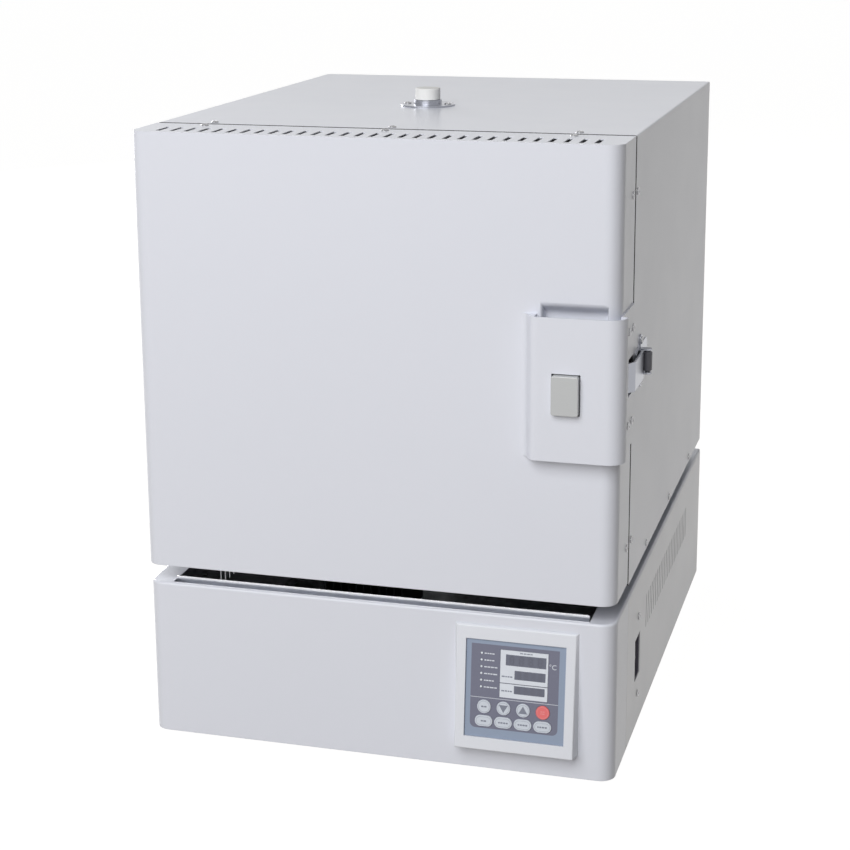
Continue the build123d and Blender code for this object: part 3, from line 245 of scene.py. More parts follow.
def ceramic(name, colour, pores=900.0, depth=0.12, edge=0.8):
    """Unglazed ceramic: chalky, with fine pores and faint warm staining."""
    f = Finish(name, colour, 0.8, Specular_IOR_Level=0.3)
    stain = (f.noise(16.0, 4.0) - 0.45).share()
    warm = tuple(channel * factor for channel, factor in zip(colour, (0.93, 0.86, 0.74)))
    f.surface(Base_Color=f.mix(stain, colour, warm))
    pore = (f.cells(pores) * 1.6).share()
    f.surface(Roughness=0.74 + 0.16 * f.noise(60.0))
    f.relief(pore + 0.8 * f.noise(2400.0, 3.0), depth * MM, edge * MM)
    return f


def fibre(name, colour):
    """Vacuum-formed fibre board: matted fibres, soft pits and a faint mottle."""
    f = Finish(name, colour, 0.95, Specular_IOR_Level=0.15, Sheen_Weight=0.2)
    mat = 0.5 * f.noise(900.0, 4.0, (0.25, 1.0, 1.0)) + 0.5 * f.noise(900.0, 4.0, (1.0, 1.0, 0.25))
    pits = f.noise(120.0, 5.0)
    f.tint((0.55 * mat + 0.45 * pits).share(), 1.06, 0.84)
    f.relief(mat + 1.5 * pits, 0.35 * MM, 1.2 * MM)
    return f


def oxidised(name, colour):
    """Resistance wire with its dark matt oxide."""
    f = Finish(name, colour, 0.6, Metallic=0.7)
    scale = f.noise(500.0, 4.0)
    rust = tuple(channel * factor for channel, factor in zip(colour, (1.5, 1.05, 0.8)))
    f.surface(Base_Color=f.mix(scale, colour, rust), Roughness=0.5 + 0.25 * scale)
    f.relief(scale, 0.02 * MM)
    return f


def woven(name, colour):
    """Woven ceramic rope: crossed yarns over a soft, dull body."""
    f = Finish(name, colour, 0.9, Sheen_Weight=0.3)
    yarn = f.noise(1400.0, 3.0, (1.0, 1.0, 0.3))
    f.tint(yarn, 1.08, 0.82)
    f.relief(yarn, 0.15 * MM)
    return f


def circuit(name, colour):
    """Circuit board: solder mask with the faint raised grid of its tracks."""
    f = Finish(name, colour, 0.35, Coat_Weight=0.4)
    tracks = (f.cells(240.0, "Distance", "DISTANCE_TO_EDGE") * 12.0).share()
    lighter = tuple(channel * 1.8 for channel in colour)
    f.surface(Base_Color=f.mix(tracks, lighter, colour))
    f.relief(1.0 - tracks, 0.03 * MM, 0.3 * MM)
    return f


# ------------------------------------------------------------------ control panel's own frame
class PanelFrame:
    """The tilted control panel: u across, w up its face, lift off its sheet, in metres."""

    def __init__(self):
        press = next(j for j in frame["joints"] if j["child"] == "key_round_1")
        self.n = -np.array(press["axis"], float)
        self.u = np.array([1.0, 0.0, 0.0])
        self.w = np.cross(self.n, self.u)
        low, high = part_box("fascia")
        corners = self.seen(vertices("fascia"))
        foot, top = corners[:, 1].min(), corners[:, 1].max()
        self.origin = self.back(np.array([(low.x + high.x) / 2, foot / 2 + top / 2, corners[:, 2].max()]))
        self.w0 = float(self.origin @ self.w)

    def seen(self, points):
        return np.stack([points @ self.u, points @ self.w, points @ self.n], -1)

    def back(self, seen):
        return seen[..., :1] * self.u + seen[..., 1:2] * self.w + seen[..., 2:] * self.n

    def at(self, u, w, lift):
        """Points on the panel, from arrays in millimetres."""
        u, w, lift = np.broadcast_arrays(u, w, lift)
        return self.origin + MM * (u[..., None] * self.u + w[..., None] * self.w + lift[..., None] * self.n)

    def fields(self, f):
        """u and w as fields of a finish, in millimetres."""
        u = (f.axis("X") - float(self.origin[0])) * 1000.0
        w = (f.axis("Y") * float(self.w[1]) + f.axis("Z") * float(self.w[2]) - self.w0) * 1000.0
        return u, w

    def face_of(self, node):
        """Middle of a node on the panel, in millimetres, and how far its face stands off the sheet."""
        points = (self.seen(vertices(node)) - self.seen(self.origin)) / MM
        low, high = points.min(0), points.max(0)
        return (low[0] + high[0]) / 2, (low[1] + high[1]) / 2, high[2]


def vertices(node):
    """A CAD node's corners as an array."""
    mesh = nodes[node].data
    flat = np.empty(len(mesh.vertices) * 3, np.float32)
    mesh.vertices.foreach_get("co", flat)
    return flat.reshape(-1, 3).astype(float)


panel = PanelFrame()

FILM_EDGE = (0.262, 0.318, 0.425)
FILM_DARK = (0.150, 0.155, 0.215)

# The film's darker field, on the panel, in millimetres.
DARK_LEFT, DARK_RIGHT = -55.3, 53.7
DARK_BOTTOM, DARK_TOP = -50.0, 55.5
DARK_CORNER = 7.0
DARK_OVERRUN = 20.0  # how far the field's rounded box runs on past its top
DARK_SHARPNESS = 4.0  # the field's edge is soft over a millimetre divided by this


def printed_film(name):
    """Printed polyester film: blue-grey border round a darker field with rounded lower corners.

    The field is a rounded box that runs on past its top edge and is cut there: the distance from
    its outline is |q| - corner, where q is how far a point lies beyond the corners' middles.
    """
    f = Finish(name, FILM_EDGE, 0.38, Coat_Weight=0.15)
    u, w = panel.fields(f)
    box_top = DARK_TOP + DARK_OVERRUN
    half_w = (DARK_RIGHT - DARK_LEFT) / 2 - DARK_CORNER
    half_h = (box_top - DARK_BOTTOM) / 2 - DARK_CORNER
    q_u = (abs(u - (DARK_LEFT + DARK_RIGHT) / 2) - half_w).above(0.0)
    q_w = (abs(w - (box_top + DARK_BOTTOM) / 2) - half_h).above(0.0)
    outside = (q_u * q_u + q_w * q_w) ** 0.5 - DARK_CORNER
    outside = outside.above(w - DARK_TOP)
    border = (outside * DARK_SHARPNESS + 0.5).share()
    fleck = f.noise(900.0, 2.0)
    f.surface(Base_Color=f.mix(border, FILM_DARK, FILM_EDGE), Roughness=0.34 + 0.12 * fleck)
    f.relief(fleck, 0.008 * MM)
    return f


finishes = {
    "enamel": enamel("enamel"),
    # Darker, warmer copy of the enamel for side faces: painted shade, with the warm light thrown up by the
    # floor.
    "enamel_side": enamel("enamel_side", (0.680, 0.685, 0.720)),
    "stainless": brushed("stainless", (0.62, 0.62, 0.61), 0.26, "X"),
    "galvanised": galvanised("galvanised", (0.50, 0.52, 0.54)),
    # Screws darker than plated steel really is: painted shade in place of the dim reflections the screws
    # show.
    "screw_steel": plated("screw_steel", (0.37, 0.37, 0.38), 0.24),
    # Steel darker than the stainless: painted shade in place of the dim reflections the keeper, latch hook
    # and exhaust flange show.
    "steel_painted_shade": brushed("steel_painted_shade", (0.37, 0.38, 0.42), 0.3, "X", 0.25 * MM),
    # Steel lighter than the stainless: painted highlight on the sill strip.
    "strip_painted_highlight": brushed("strip_painted_highlight", (0.80, 0.81, 0.84), 0.22, "X", 0.25 * MM),
    "black_anodised": moulded("black_anodised", (0.028, 0.029, 0.032), 0.45, 0.006, 1500.0, 0.2),
    "satin_button": satin("satin_button", (0.46, 0.47, 0.475)),
    "bezel_white": moulded("bezel_white", (0.725, 0.745, 0.800), 0.36, 0.012, 800.0, 0.9),
    "fascia_grey": printed_film("fascia_grey"),
    "display_white": moulded("display_white", (0.700, 0.735, 0.800), 0.4, 0.006, 900.0, 0.2),
    "slate_plastic": moulded("slate_plastic", (0.125, 0.122, 0.155), 0.42),
    # Nearly black, so that the seam round the door shows as dark as its shade: painted shade.
    "black_enamel": moulded("black_enamel", (0.022, 0.022, 0.026), 0.6, 0.01, 700.0, 0.0),
    "enamel_folded": enamel("enamel_folded", ENAMEL, 0.0),
    "enamel_door": enamel("enamel_door", smooth=GRIP_POCKET),
    "lamp_clear": moulded("lamp_clear", (0.80, 0.84, 0.90), 0.25, 0.002, 900.0, 0.1),
    "key_pale": moulded("key_pale", (0.60, 0.64, 0.71), 0.4, 0.01, 1500.0, 0.4),
    "key_red": moulded("key_red", (0.76, 0.165, 0.17), 0.4, 0.01, 1500.0, 0.4),
    "board_green": circuit("board_green", (0.03, 0.12, 0.06)),
    "black_plastic": moulded("black_plastic", (0.028, 0.029, 0.032), 0.45),
    "roller_grey": moulded("roller_grey", (0.085, 0.085, 0.10), 0.4),
    "rubber": moulded("rubber", (0.025, 0.025, 0.026), 0.7, 0.05, 500.0),
    "aluminium": brushed("aluminium", (0.72, 0.72, 0.73), 0.32, "Y"),
    "white_ceramic": ceramic("white_ceramic", (0.80, 0.80, 0.79)),
    "fibre_board": fibre("fibre_board", (0.80, 0.78, 0.73)),
    "heater_ceramic": ceramic("heater_ceramic", (0.66, 0.62, 0.54), 260.0, 0.4, 1.5),
    "element": oxidised("element", (0.10, 0.09, 0.085)),
    "seal": woven("seal", (0.70, 0.68, 0.62)),
    "window_tint": moulded("window_tint", (0.115, 0.125, 0.175), 0.16, 0.002, 900.0, 0.15, Coat_Weight=0.5),
    "segment_off": moulded("segment_off", (0.085, 0.09, 0.125), 0.3, 0.002, 900.0, 0.1),
    "print_pale": moulded("print_pale", (0.66, 0.69, 0.75), 0.45, 0.004, 1500.0, 0.1),
    "print_grey": moulded("print_grey", (0.24, 0.26, 0.32), 0.45, 0.004, 1500.0, 0.1),
    "print_rose": moulded("print_rose", (0.80, 0.30, 0.30), 0.45, 0.004, 1500.0, 0.1),
    "print_line": moulded("print_line", (0.36, 0.39, 0.46), 0.45, 0.004, 1500.0, 0.1),
    "print_legend": moulded("print_legend", (0.20, 0.215, 0.27), 0.45, 0.004, 1500.0, 0.1),
}


def dress(obj, finish):
    """Gives an object one finish, on its own material slot."""
    if not obj.material_slots:
        obj.data.materials.append(None)
    obj.material_slots[0].link = "OBJECT"
    obj.material_slots[0].material = finishes[finish].material


# Nodes that look different from the rest of their material slot. The others wear the finish that is
# named after their slot.
OWN_FINISH = {
    "grip": "enamel_folded",
    "door_shell": "enamel_door",
    # Keeper, latch hook and exhaust flange wear steel darkened with painted shade.
    "keeper": "steel_painted_shade",
    "latch_hook": "steel_painted_shade",
    "exhaust_flange": "steel_painted_shade",
    # The sill strip wears steel lightened with a painted highlight.
    "sill_strip": "strip_painted_highlight",
    "relay_heatsink": "black_anodised",
}

for node in nodes.values():
    dress(node, node.data.materials[0].name)
for name, finish in OWN_FINISH.items():
    dress(nodes[name], finish)


# ------------------------------------------------------------------ surfaces
WELD = 0.0005 * MM  # corners nearer to one another than this are one


def weld(mesh):
    """Joins corners that meet, and turns every face outwards."""
    work = bmesh.new()
    work.from_mesh(mesh)
    bmesh.ops.remove_doubles(work, verts=work.verts, dist=WELD)
    bmesh.ops.recalc_face_normals(work, faces=work.faces)
    work.to_mesh(mesh)
    work.free()


def linked(name, data):
    """A new object of the scene."""
    obj = bpy.data.objects.new(name, data)
    bpy.context.scene.collection.objects.link(obj)
    return obj


def add_piece(name, grids, finish, body, closed_rows=False, crease=40.0):
    """Makes one mesh from an array of copies x rows x columns x 3 points.

    Each row is a closed ring, so the last column meets the first. A ring with all its points in
    one place is a pole. With closed_rows the last ring meets the first as well.
    """
    grids = np.asarray(grids, float)
    copies, rows, columns = grids.shape[:3]
    row = np.arange(rows if closed_rows else rows - 1)[:, None]
    column = np.arange(columns)[None, :]
    after_row, after_column = (row + 1) % rows, (column + 1) % columns
    corners = [row * columns + column, row * columns + after_column,
               after_row * columns + after_column, after_row * columns + column]
    quads = np.stack(corners, -1).reshape(-1, 4)
    quads = (quads[None] + np.arange(copies)[:, None, None] * rows * columns).reshape(-1, 4)
    mesh = bpy.data.meshes.new(name)
    mesh.from_pydata(grids.reshape(-1, 3).tolist(), [], quads.tolist())
    weld(mesh)
    mesh.shade_smooth()
    mesh.set_sharp_from_angle(angle=radians(crease))
    piece = linked(name, mesh)
    dress(piece, finish)
    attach(piece, body)
    return piece


def outline(half_width, half_height, corner, count=48):
    """Rounded rectangle: the corner's circle, pushed out by the sign of its own cosine and sine."""
    angle = (np.arange(count) + 0.5) * tau / count
    u = np.sign(np.cos(angle)) * (half_width - corner) + corner * np.cos(angle)
    w = np.sign(np.sin(angle)) * (half_height - corner) + corner * np.sin(angle)
    return np.stack([u, w], -1)


def plaque(centre, edge, low, high):
    """Flat print on the panel: an outline about its centre, closed below and above by poles."""
    scale = np.array([0.0, 1.0, 1.0, 0.0])[:, None, None]
    points = np.array(centre) + scale * edge
    lift = np.array([low, low, high, high])[:, None]
    return panel.at(points[..., 0], points[..., 1], lift)


def ring_line(centre, outer, inner, low, high):
    """Raised line on the panel between two outlines: four rings, closed on themselves."""
    rings = np.array(centre) + np.stack([outer, outer, inner, inner])
    lift = np.array([low, high, high, low])[:, None]
    return panel.at(rings[..., 0], rings[..., 1], lift)


PRINT = 0.12  # thickness of printed marks, mm
SUNK = -0.1  # level of a mark's underside, which is let into what it is printed on, mm
MARK_CORNERS = 16  # points round the outline of a small mark


# ------------------------------------------------------------------ screws
SHANK_RADIUS, SHANK_LENGTH = 2.0, 6.0
HEAD_RADIUS, HEAD_HEIGHT, HEAD_RIM = 4.7, 2.3, 0.35
HEAD_ROUNDNESS = 0.98  # the head's edge lies this far out along the radius of its dome's half circle
RECESS_REACH, RECESS_WIDTH, RECESS_DEPTH = 2.5, 0.62, 1.5
RECESS_WALL, RECESS_END = 0.22, 0.9  # lengths over which the recess falls off, across and along
SCREW_SPACING = 1.0  # the least room between two screws, mm
SCREW_SPOKES, DOME_RINGS = 48, 15


def screw_shape():
    """Truss-head screw about +Z, as rows of rings.

    Dome: height = rim + rise * sqrt(1 - (roundness * r / R)^2). The cross recess takes away its depth
    times the larger of two bars, each falling off across its width and towards its ends.
    """
    spokes = np.arange(SCREW_SPOKES) * tau / SCREW_SPOKES
    dome = np.linspace(1.0, 0.0, DOME_RINGS)
    radius = np.concatenate([[0.0, SHANK_RADIUS, SHANK_RADIUS, HEAD_RADIUS], HEAD_RADIUS * dome])
    rise = HEAD_RIM + (HEAD_HEIGHT - HEAD_RIM) * np.sqrt(1 - (HEAD_ROUNDNESS * dome) ** 2)
    height = np.concatenate([[-SHANK_LENGTH, -SHANK_LENGTH, 0.0, 0.0], rise])
    x, y = radius[:, None] * np.cos(spokes), radius[:, None] * np.sin(spokes)

    def bar(across, along):
        wall = np.clip((RECESS_WIDTH - np.abs(across)) / RECESS_WALL + 0.5, 0, 1)
        return wall * np.clip((RECESS_REACH - np.abs(along)) / RECESS_END, 0, 1)

    cut = RECESS_DEPTH * np.maximum(bar(x, y), bar(y, x))
    z = height[:, None] - np.where(height[:, None] > 0, cut, 0)
    return np.stack([x, y, z], -1) * MM


def screw_seats(node):
    """Each screw's seat and outward direction, read from the CAD node.

    A screw is all the corners within a head's width and the least spacing of its first corner, and it
    is shorter than its head is wide. The head is the end where the corners lie farthest from the
    screw's axis, and the seat is a shank's length from the other end.
    """
    points = vertices(node)
    seats = []
    while len(points):
        near = (np.abs(points - points[0]) < (2 * HEAD_RADIUS + SCREW_SPACING) * MM).all(1)
        one, points = points[near], points[~near]
        low, high = one.min(0), one.max(0)
        middle = (low + high) / 2
        along = int(np.argmin(high - low))
        radial = np.delete(one - middle, along, 1)
        head = one[np.hypot(*radial.T) > 1.5 * SHANK_RADIUS * MM]
        way = np.sign(head.mean(0)[along] - middle[along])
        seat = middle.copy()
        seat[along] = (high[along] if way < 0 else low[along]) + way * SHANK_LENGTH * MM
        seats.append((seat, along, way))
    return seats


def screws(node, body):
    """Cross-recessed screws in place of a CAD node's plain ones, each turned its own way."""
    shape = screw_shape()
    made = []
    for seat, along, way in screw_seats(node):
        turn = rng.uniform(0, pi)
        x = shape[..., 0] * cos(turn) - shape[..., 1] * sin(turn)
        y = shape[..., 0] * sin(turn) + shape[..., 1] * cos(turn)
        placed = np.empty_like(shape)
        placed[..., along] = shape[..., 2] * way
        placed[..., (along + 1) % 3] = x * way
        placed[..., (along + 2) % 3] = y
        made.append(seat + placed)
    piece = add_piece(node + "_crossed", made, "screw_steel", body, crease=34.0)
    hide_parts(node)


screws("cabinet_screws", "cabinet")
screws("door_screws", "door")


# ------------------------------------------------------------------ heating elements
WIRE_RADIUS = 0.72
COIL_PITCH = 3.4
COIL_STEPS, WIRE_SIDES = 12, 6  # rings to a turn, points to a ring
ELEMENT_ROWS = 8
ROW_REACH = 10.0 * MM  # only the lowest row has corners within this height of the elements' foot


def coil(x, y0, y1, z, reach):
    """Helix of wire along Y: the centre line turns at a radius that leaves room for the wire, and
    the wire's ring lies across it, from the radial direction to the one square to both."""
    turns = (y1 - y0) / (COIL_PITCH * MM)
    angle = np.linspace(0, turns * tau, int(turns * COIL_STEPS))[:, None]
    ring = np.arange(WIRE_SIDES) * tau / WIRE_SIDES
    wire = WIRE_RADIUS * MM * np.ones_like(angle)
    wire[[0, -1]] = 0.0
    radius = reach - WIRE_RADIUS * MM + wire * np.cos(ring)
    slope = atan2(COIL_PITCH * MM, tau * reach)
    along = wire * np.sin(ring) * cos(slope)
    around = angle - wire * np.sin(ring) * sin(slope) / reach
    y = y0 + WIRE_RADIUS * MM + (y1 - y0 - 2 * WIRE_RADIUS * MM) * angle / angle[-1] + along
    return np.stack([x + radius * np.cos(around), y, z + radius * np.sin(around)], -1)


def heating_coils():
    """Coiled elements lying in the grooves of the two side plates."""
    low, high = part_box("heating_elements")
    points = vertices("heating_elements")
    reach = np.ptp(points[(points[:, 0] > 0) & (points[:, 2] < low.z + ROW_REACH), 0]) / 2
    levels = np.linspace(low.z + reach, high.z - reach, ELEMENT_ROWS)
    for side, x in (("left", low.x + reach), ("right", high.x - reach)):
        rows = [coil(x, low.y, high.y, z, reach) for z in levels]
        piece = add_piece(f"heating_coils_{side}", rows, "element", "cabinet", crease=80.0)
        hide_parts("heating_elements")


heating_coils()


# ------------------------------------------------------------------ door seal
SEAL_WIDTH = 12.0
BRAID_PITCH = 6.0
BRAID_DEPTH = 0.4
BRAID_YARNS = 4  # yarns of each family round the rope
SEAL_RINGS, SEAL_COLUMNS = 1700, 28


def door_seal():
    """Braided rope round the throat: an ellipse carried along a rounded rectangle.

    Two families of yarns wind opposite ways, so the surface sinks by the braid's depth times the
    product of the two waves.
    """
    low, high = (np.array(corner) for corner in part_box("door_gasket"))
    half = (high - low) / 2
    width = SEAL_WIDTH * MM / 2
    path = outline(half[0] - width, half[2] - width, 2 * width, 4 * 60)
    step = np.linalg.norm(np.roll(path, -1, 0) - path, axis=1)
    length = step.sum()
    spaced = np.linspace(0, length, SEAL_RINGS, endpoint=False)
    reached = np.concatenate([[0], np.cumsum(step)])
    looped = np.vstack([path, path[:1]])
    line = np.stack([np.interp(spaced, reached, looped[:, i]) for i in range(2)], -1)
    ahead = np.roll(line, -1, 0) - np.roll(line, 1, 0)
    ahead /= np.linalg.norm(ahead, axis=1, keepdims=True)
    out = np.stack([ahead[:, 1], -ahead[:, 0]], -1)
    ring = np.arange(SEAL_COLUMNS) * tau / SEAL_COLUMNS
    waves = round(length / (BRAID_PITCH * MM)) * tau / length
    phase, twist = spaced[:, None] * waves, BRAID_YARNS * ring
    sink = BRAID_DEPTH * MM * (0.5 + 0.5 * np.cos(phase + twist) * np.cos(phase - twist))
    across = (width - sink) * np.cos(ring)
    thick = (half[1] - sink) * np.sin(ring)
    middle = (low + high) / 2
    x = middle[0] + line[:, :1] + out[:, :1] * across
    z = middle[2] + line[:, 1:] + out[:, 1:] * across
    piece = add_piece("door_seal_rope", [np.stack([x, middle[1] + thick, z], -1)], "seal", "door",
                      closed_rows=True, crease=80.0)
    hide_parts("door_gasket")


door_seal()


# ------------------------------------------------------------------ control panel
DISPLAY_FACE = panel.face_of("display_blocks")[2]
# Each window's left and right side, its foot and its top, and how many digits it shows.
WINDOWS = [(-12.3, 37.7, 31.7, 45.3, 4), (-1.1, 37.2, 14.9, 26.0, 4), (-1.3, 36.6, -3.1, 6.9, 4)]
WINDOW_PROUD, WINDOW_CORNER = 0.15, 0.5
SEGMENT_LIFT = 0.03

DIGIT_HEIGHT = 0.66  # of its window's height
DIGIT_WIDTH = 0.52  # of its own height, if that is no more than DIGIT_ROOM
DIGIT_ROOM = 0.36  # of the pitch, on each side of its middle
DIGIT_SPARE, DIGIT_START = 0.3, 0.65  # room left over and the first digit's middle, in pitches
SEGMENT_WIDTH, SEGMENT_CORNER = 0.11, 0.6  # of the digit's height, of the segment's width

# Each caption's left and right end, its level and its height.
DISPLAY_CAPTIONS = [(5.0, 20.5, 48.0, 1.4), (-17.0, -3.6, 17.6, 1.7), (-17.0, -3.6, -0.4, 1.7)]
CAPTION_GAP = 2.2  # between a lamp and its caption
LAMP_CAPTION_REACHES = (12.5, 12.5, 16.5, 16.5, 12.5, 16.5)
LAMP_CAPTION_HEIGHT = 1.5
DIVIDER_LEVEL, DIVIDER_WIDTH = -11.5, 0.6
LAMPS = 6
LAMP_DOME = 0.3  # height of a lamp's dome, in shares of its radius
LAMP_RINGS, LAMP_COLUMNS = 8, 32
DASH_GAP, DASH_CORNER = 0.55, 0.35  # millimetres, share of the dash's shorter side
DASH_SPREAD = (0.6, 1.5)  # shortest and longest dash, before they are fitted to the width


def display_windows():
    """Tinted windows of the three read-outs, with their unlit figure-of-eight segments.

    high and wide are half a digit's height and width, and thin is half a segment's width.
    """
    panes, bars = [], []
    for left, right, bottom, top, digits in WINDOWS:
        centre = ((left + right) / 2, (bottom + top) / 2)
        half = ((right - left) / 2, (top - bottom) / 2)
        pane = outline(*half, WINDOW_CORNER)
        panes.append(plaque(centre, pane, DISPLAY_FACE + SUNK, DISPLAY_FACE + WINDOW_PROUD))
        pitch = (right - left) / (digits + DIGIT_SPARE)
        high = half[1] * DIGIT_HEIGHT
        wide = min(high * DIGIT_WIDTH, pitch * DIGIT_ROOM)
        thin = high * SEGMENT_WIDTH
        flat = outline(wide - thin, thin, thin * SEGMENT_CORNER, MARK_CORNERS)
        upright = outline(thin, high / 2 - thin, thin * SEGMENT_CORNER, MARK_CORNERS)
        for digit in range(digits):
            u = left + (digit + DIGIT_START) * pitch
            for level in (-1, 0, 1):
                bars.append(((u, centre[1] + level * high), flat))
            for side in (-1, 1):
                for level in (-0.5, 0.5):
                    bars.append(((u + side * wide, centre[1] + level * high), upright))
    low = DISPLAY_FACE + WINDOW_PROUD
    add_piece("display_windows", panes, "window_tint", "cabinet")
    add_piece("display_segments", [plaque(*bar, low + SUNK, low + SEGMENT_LIFT) for bar in bars],
              "segment_off", "cabinet")


def lamps():
    """Six milky lamp domes: the rings rise by a quarter circle's sine and shrink by its cosine.

    Gives back the lamps' right side and their levels, from the top down.
    """
    points = panel.seen(vertices("lamp_lenses")) - panel.seen(panel.origin)
    low, high = points.min(0) / MM, points.max(0) / MM
    radius = (high[0] - low[0]) / 2
    climb = np.linspace(0, pi / 2, LAMP_RINGS)
    dome = radius * LAMP_DOME
    rise = np.concatenate([[low[2], low[2]], high[2] - dome + dome * np.sin(climb)])
    reach = np.concatenate([[0.0, 1.0], np.cos(climb)])
    ring = outline(radius, radius, radius, LAMP_COLUMNS)
    u = (low[0] + high[0]) / 2 + reach[:, None] * ring[:, 0]
    made = []
    for w in np.linspace(low[1] + radius, high[1] - radius, LAMPS):
        made.append(panel.at(u, w + reach[:, None] * ring[:, 1], rise[:, None]))
    piece = add_piece("lamp_domes", made, "lamp_clear", "cabinet")
    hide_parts("lamp_lenses")
    return (low[0] + high[0]) / 2 + radius, np.linspace(high[1] - radius, low[1] + radius, LAMPS)


def dashes(u0, u1, w, height, count):
    """A row of rounded dashes of uneven length that fills the given width."""
    weights = rng.uniform(*DASH_SPREAD, count)
    lengths = weights / weights.sum() * (u1 - u0 - DASH_GAP * (count - 1))
    starts = u0 + np.concatenate([[0], np.cumsum(lengths + DASH_GAP)[:-1]])
    made = []
    for start, length in zip(starts, lengths):
        corner = min(height, length) * DASH_CORNER
        made.append(((start + length / 2, w), outline(length / 2, height / 2, corner, MARK_CORNERS)))
    return made


def marks(name, shapes, base, finish, body):
    """Printed marks of one colour on one surface, lifted off it by the print's thickness."""
    made = [plaque(*shape, base + SUNK, base + PRINT) for shape in shapes]
    add_piece(name, made, finish, body)


def panel_print():
    """Divider line and generic dashes where the lamps and read-outs have their captions."""
    lamp_right, levels = lamps()
    captions = []
    start = lamp_right + CAPTION_GAP
    for w, reach in zip(levels, LAMP_CAPTION_REACHES):
        captions += dashes(start, start + reach, w, LAMP_CAPTION_HEIGHT, 4)
    marks("lamp_captions", captions, 0.0, "print_pale", "cabinet")
    line = outline((DARK_RIGHT - DARK_LEFT) / 2, DIVIDER_WIDTH / 2, DIVIDER_WIDTH / 4, MARK_CORNERS)
    middle = ((DARK_LEFT + DARK_RIGHT) / 2, DIVIDER_LEVEL)
    marks("panel_divider", [(middle, line)], 0.0, "print_pale", "cabinet")
    captions = []
    for row in DISPLAY_CAPTIONS:
        captions += dashes(*row, 4)
    marks("display_captions", captions, DISPLAY_FACE, "print_grey", "cabinet")


DEGREES_SIZE = 8.6
DEGREES_PLACE = (45.7, 34.5)
DEGREES_CLEARANCE = 0.01  # between the sign and the film under it


def degree_sign():
    """°C beside the upper read-out."""
    curve = bpy.data.curves.new("degrees", "FONT")
    curve.body = "°C"
    curve.size = DEGREES_SIZE * MM
    curve.extrude = PRINT * MM / 2
    curve.align_x, curve.align_y = "CENTER", "CENTER"
    curve.resolution_u = 6
    text = linked("degrees", curve)
    bpy.context.view_layer.update()
    mesh = bpy.data.meshes.new_from_object(text.evaluated_get(bpy.context.evaluated_depsgraph_get()))
    bpy.data.objects.remove(text)
    place = Matrix((panel.u, panel.w, panel.n)).transposed().to_4x4()
    place.translation = Vector(panel.at(*DEGREES_PLACE, PRINT / 2 + DEGREES_CLEARANCE))
    mesh.transform(place)
    weld(mesh)
    piece = linked("degree_sign", mesh)
    dress(piece, "print_pale")
    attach(piece, "cabinet")


def triangle(radius, way):
    """Arrow head: three corners on a circle, the sides filled in evenly; way 1 points up."""
    angles = [pi / 2 + third * tau / 3 for third in range(3)]
    corners = radius * np.array([[cos(angle), sin(angle) * way] for angle in angles])
    share = np.linspace(0, 1, 8, endpoint=False)[:, None]
    return np.vstack([a + (b - a) * share for a, b in zip(corners, np.roll(corners, -1, 0))])


# Half width, half height and corner of the line round each kind of key.
KEY_LINES = {"round": (7.1, 7.1, 7.1), "oblong": (9.4, 5.2, 5.2)}
KEY_LINE_WIDTH = 0.45
ARROW_RADIUS, ARROW_DROP = 6.3, 0.9
LEGEND_HEIGHT = 1.9
STOP_REACH, STOP_LEVEL, STOP_HEIGHT = 2.6, 1.3, 1.2  # the red key's two rows of dashes


def key_marks():
    """Ring line and legend on each key's cap: arrows on the middle two of the round row."""
    for column in range(1, 5):
        for row, size in KEY_LINES.items():
            key = f"key_{row}_{column}"
            u, w, face = panel.face_of(key)
            red = key == "key_round_4"
            inner = outline(*(side - KEY_LINE_WIDTH for side in size))
            line = ring_line((u, w), outline(*size), inner, face + SUNK, face + PRINT)
            add_piece(key + "_ring", [line], "print_rose" if red else "print_line", key,
                      closed_rows=True)
            if row == "round" and column in (2, 3):
                way = 1 if column == 3 else -1
                shapes = [((u, w - ARROW_DROP * way), triangle(ARROW_RADIUS, way))]
            elif red:
                shapes = []
                for level in (w + STOP_LEVEL, w - STOP_LEVEL):
                    shapes += dashes(u - STOP_REACH, u + STOP_REACH, level, STOP_HEIGHT, 2)
            else:
                reach, count = (3.4, 2) if row == "round" or column == 1 else (6.0, 4)
                shapes = dashes(u - reach, u + reach, w, LEGEND_HEIGHT, count)
            marks(key + "_legend", shapes, face, "print_rose" if red else "print_legend", key)


display_windows()
panel_print()
degree_sign()
key_marks()


# ------------------------------------------------------------------ stage
FLOOR_GLOW = 0.75  # share of the floor's look that doesn't depend on the light on it
FLOOR_BRIGHTNESS = 1.3
FLOOR_RADIUS, FLOOR_DROP, FLOOR_CORNERS = 40, 0.0005, 96
WORLD_STRENGTH = 0.11
MIDDLE = (0.0, 0.0, 0.4)


def seen_directly(f):
    """1 for camera, glossy and transmission rays, 0 for the light that falls on the object."""
    kinds = ("Camera", "Glossy", "Transmission")
    rays = [f.node("ShaderNodeLightPath", {}, {}, f"Is {kind} Ray") for kind in kinds]
    return (rays[0] + rays[1] + rays[2]).share()


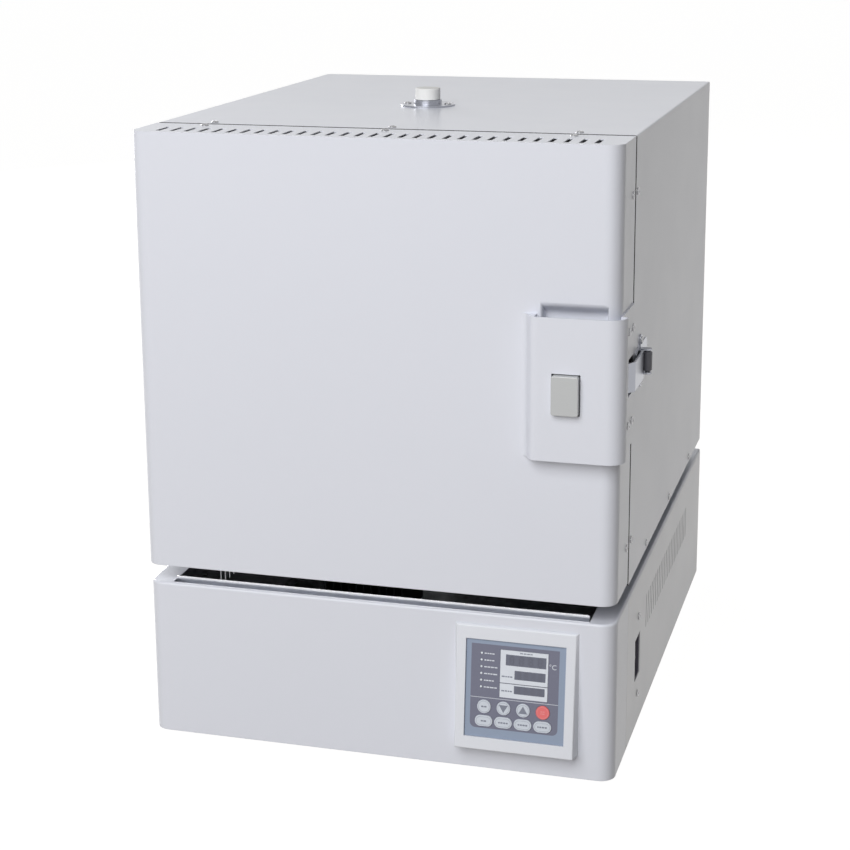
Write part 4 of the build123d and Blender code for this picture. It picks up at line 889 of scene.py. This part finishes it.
def floor():
    """Pale round floor, just under the furnace, that keeps the furnace's soft shadow."""
    mesh = bpy.data.meshes.new("floor")
    angle = np.arange(FLOOR_CORNERS) * tau / FLOOR_CORNERS
    rim = np.stack([FLOOR_RADIUS * np.cos(angle), FLOOR_RADIUS * np.sin(angle), 0 * angle - FLOOR_DROP], -1)
    mesh.from_pydata(rim.tolist(), [], [list(range(FLOOR_CORNERS))])
    obj = linked("floor", mesh)
    f = Finish("floor", (0.38, 0.355, 0.32), 0.9, Specular_IOR_Level=0.1)
    glow = f.node("ShaderNodeEmission", {}, {"Color": (1.0, 1.0, 1.0), "Strength": FLOOR_BRIGHTNESS})
    output = f.tree.nodes["Material Output"]
    shader = Field(f, f.shader.outputs[0])
    mixed = f.node("ShaderNodeMixShader", {}, {0: seen_directly(f) * FLOOR_GLOW, 1: shader, 2: glow})
    f.feed(output.inputs["Surface"], mixed)
    obj.data.materials.append(f.material)


class World(Finish):
    """The world's own node tree, with the same way of adding nodes."""

    def __init__(self, name):
        world = bpy.data.worlds.new(name)
        world.use_nodes = True
        bpy.context.scene.world = world
        self.tree = world.node_tree


def studio_world(strength):
    """Even soft light on the object, in front of a white background."""
    world = World("studio")
    world.tree.nodes.clear()
    soft = world.node("ShaderNodeBackground", {}, {"Color": (1.0, 1.0, 1.0), "Strength": strength})
    white = world.node("ShaderNodeBackground", {}, {"Color": (1.0, 1.0, 1.0), "Strength": 1.0})
    mixed = world.node("ShaderNodeMixShader", {}, {0: seen_directly(world), 1: soft, 2: white})
    output = world.tree.nodes.new("ShaderNodeOutputWorld")
    world.feed(output.inputs["Surface"], mixed)


def area_lamp(name, place, target, size, power):
    """Soft box of the given width and height that faces a point."""
    lamp = bpy.data.lights.new(name, "AREA")
    lamp.shape = "RECTANGLE"
    lamp.size, lamp.size_y = size
    lamp.energy = power
    obj = linked(name, lamp)
    obj.location = place
    obj.rotation_euler = (Vector(target) - Vector(place)).to_track_quat("-Z", "Y").to_euler()


floor()
studio_world(WORLD_STRENGTH)
area_lamp("key_light", (-0.6, -4.0, 3.0), MIDDLE, size=(3.6, 3.6), power=210.0)
area_lamp("back_light", (-3.6, 3.2, 1.2), MIDDLE, size=(2.6, 2.0), power=190.0)


# ------------------------------------------------------------------ camera
IMAGE_SIDE = 850.0  # the picture's side in its own dots, which the lens and shift are given in
FOCAL_LENGTH = 1870.8
HORIZON_SHIFT = -85.0
SENSOR = 36.0
YAW, PITCH, ROLL = 15.762, -13.372, 0.364  # degrees
DOOR_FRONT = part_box("door_shell")[0].y
CAMERA_PLACE = (0.6498, DOOR_FRONT - 2.0592, 1.0556)


def camera():
    """Camera a little above the furnace, to the right of its front."""
    data = bpy.data.cameras.new("camera")
    data.sensor_width = SENSOR
    data.lens = FOCAL_LENGTH / IMAGE_SIDE * SENSOR
    data.shift_y = HORIZON_SHIFT / IMAGE_SIDE
    turn = (Matrix.Rotation(radians(YAW), 3, "Z") @ Matrix.Rotation(radians(PITCH), 3, "X")
            @ Matrix.Rotation(radians(ROLL), 3, "Y"))
    right, forward, up = (Vector(turn.col[i]) for i in range(3))
    place = Matrix((right, up, -forward)).transposed().to_4x4()
    place.translation = CAMERA_PLACE
    obj = linked("camera", data)
    obj.matrix_world = place
    bpy.context.scene.camera = obj


camera()
bpy.context.scene.view_settings.view_transform = "Standard"

bpy.context.view_layer.update()
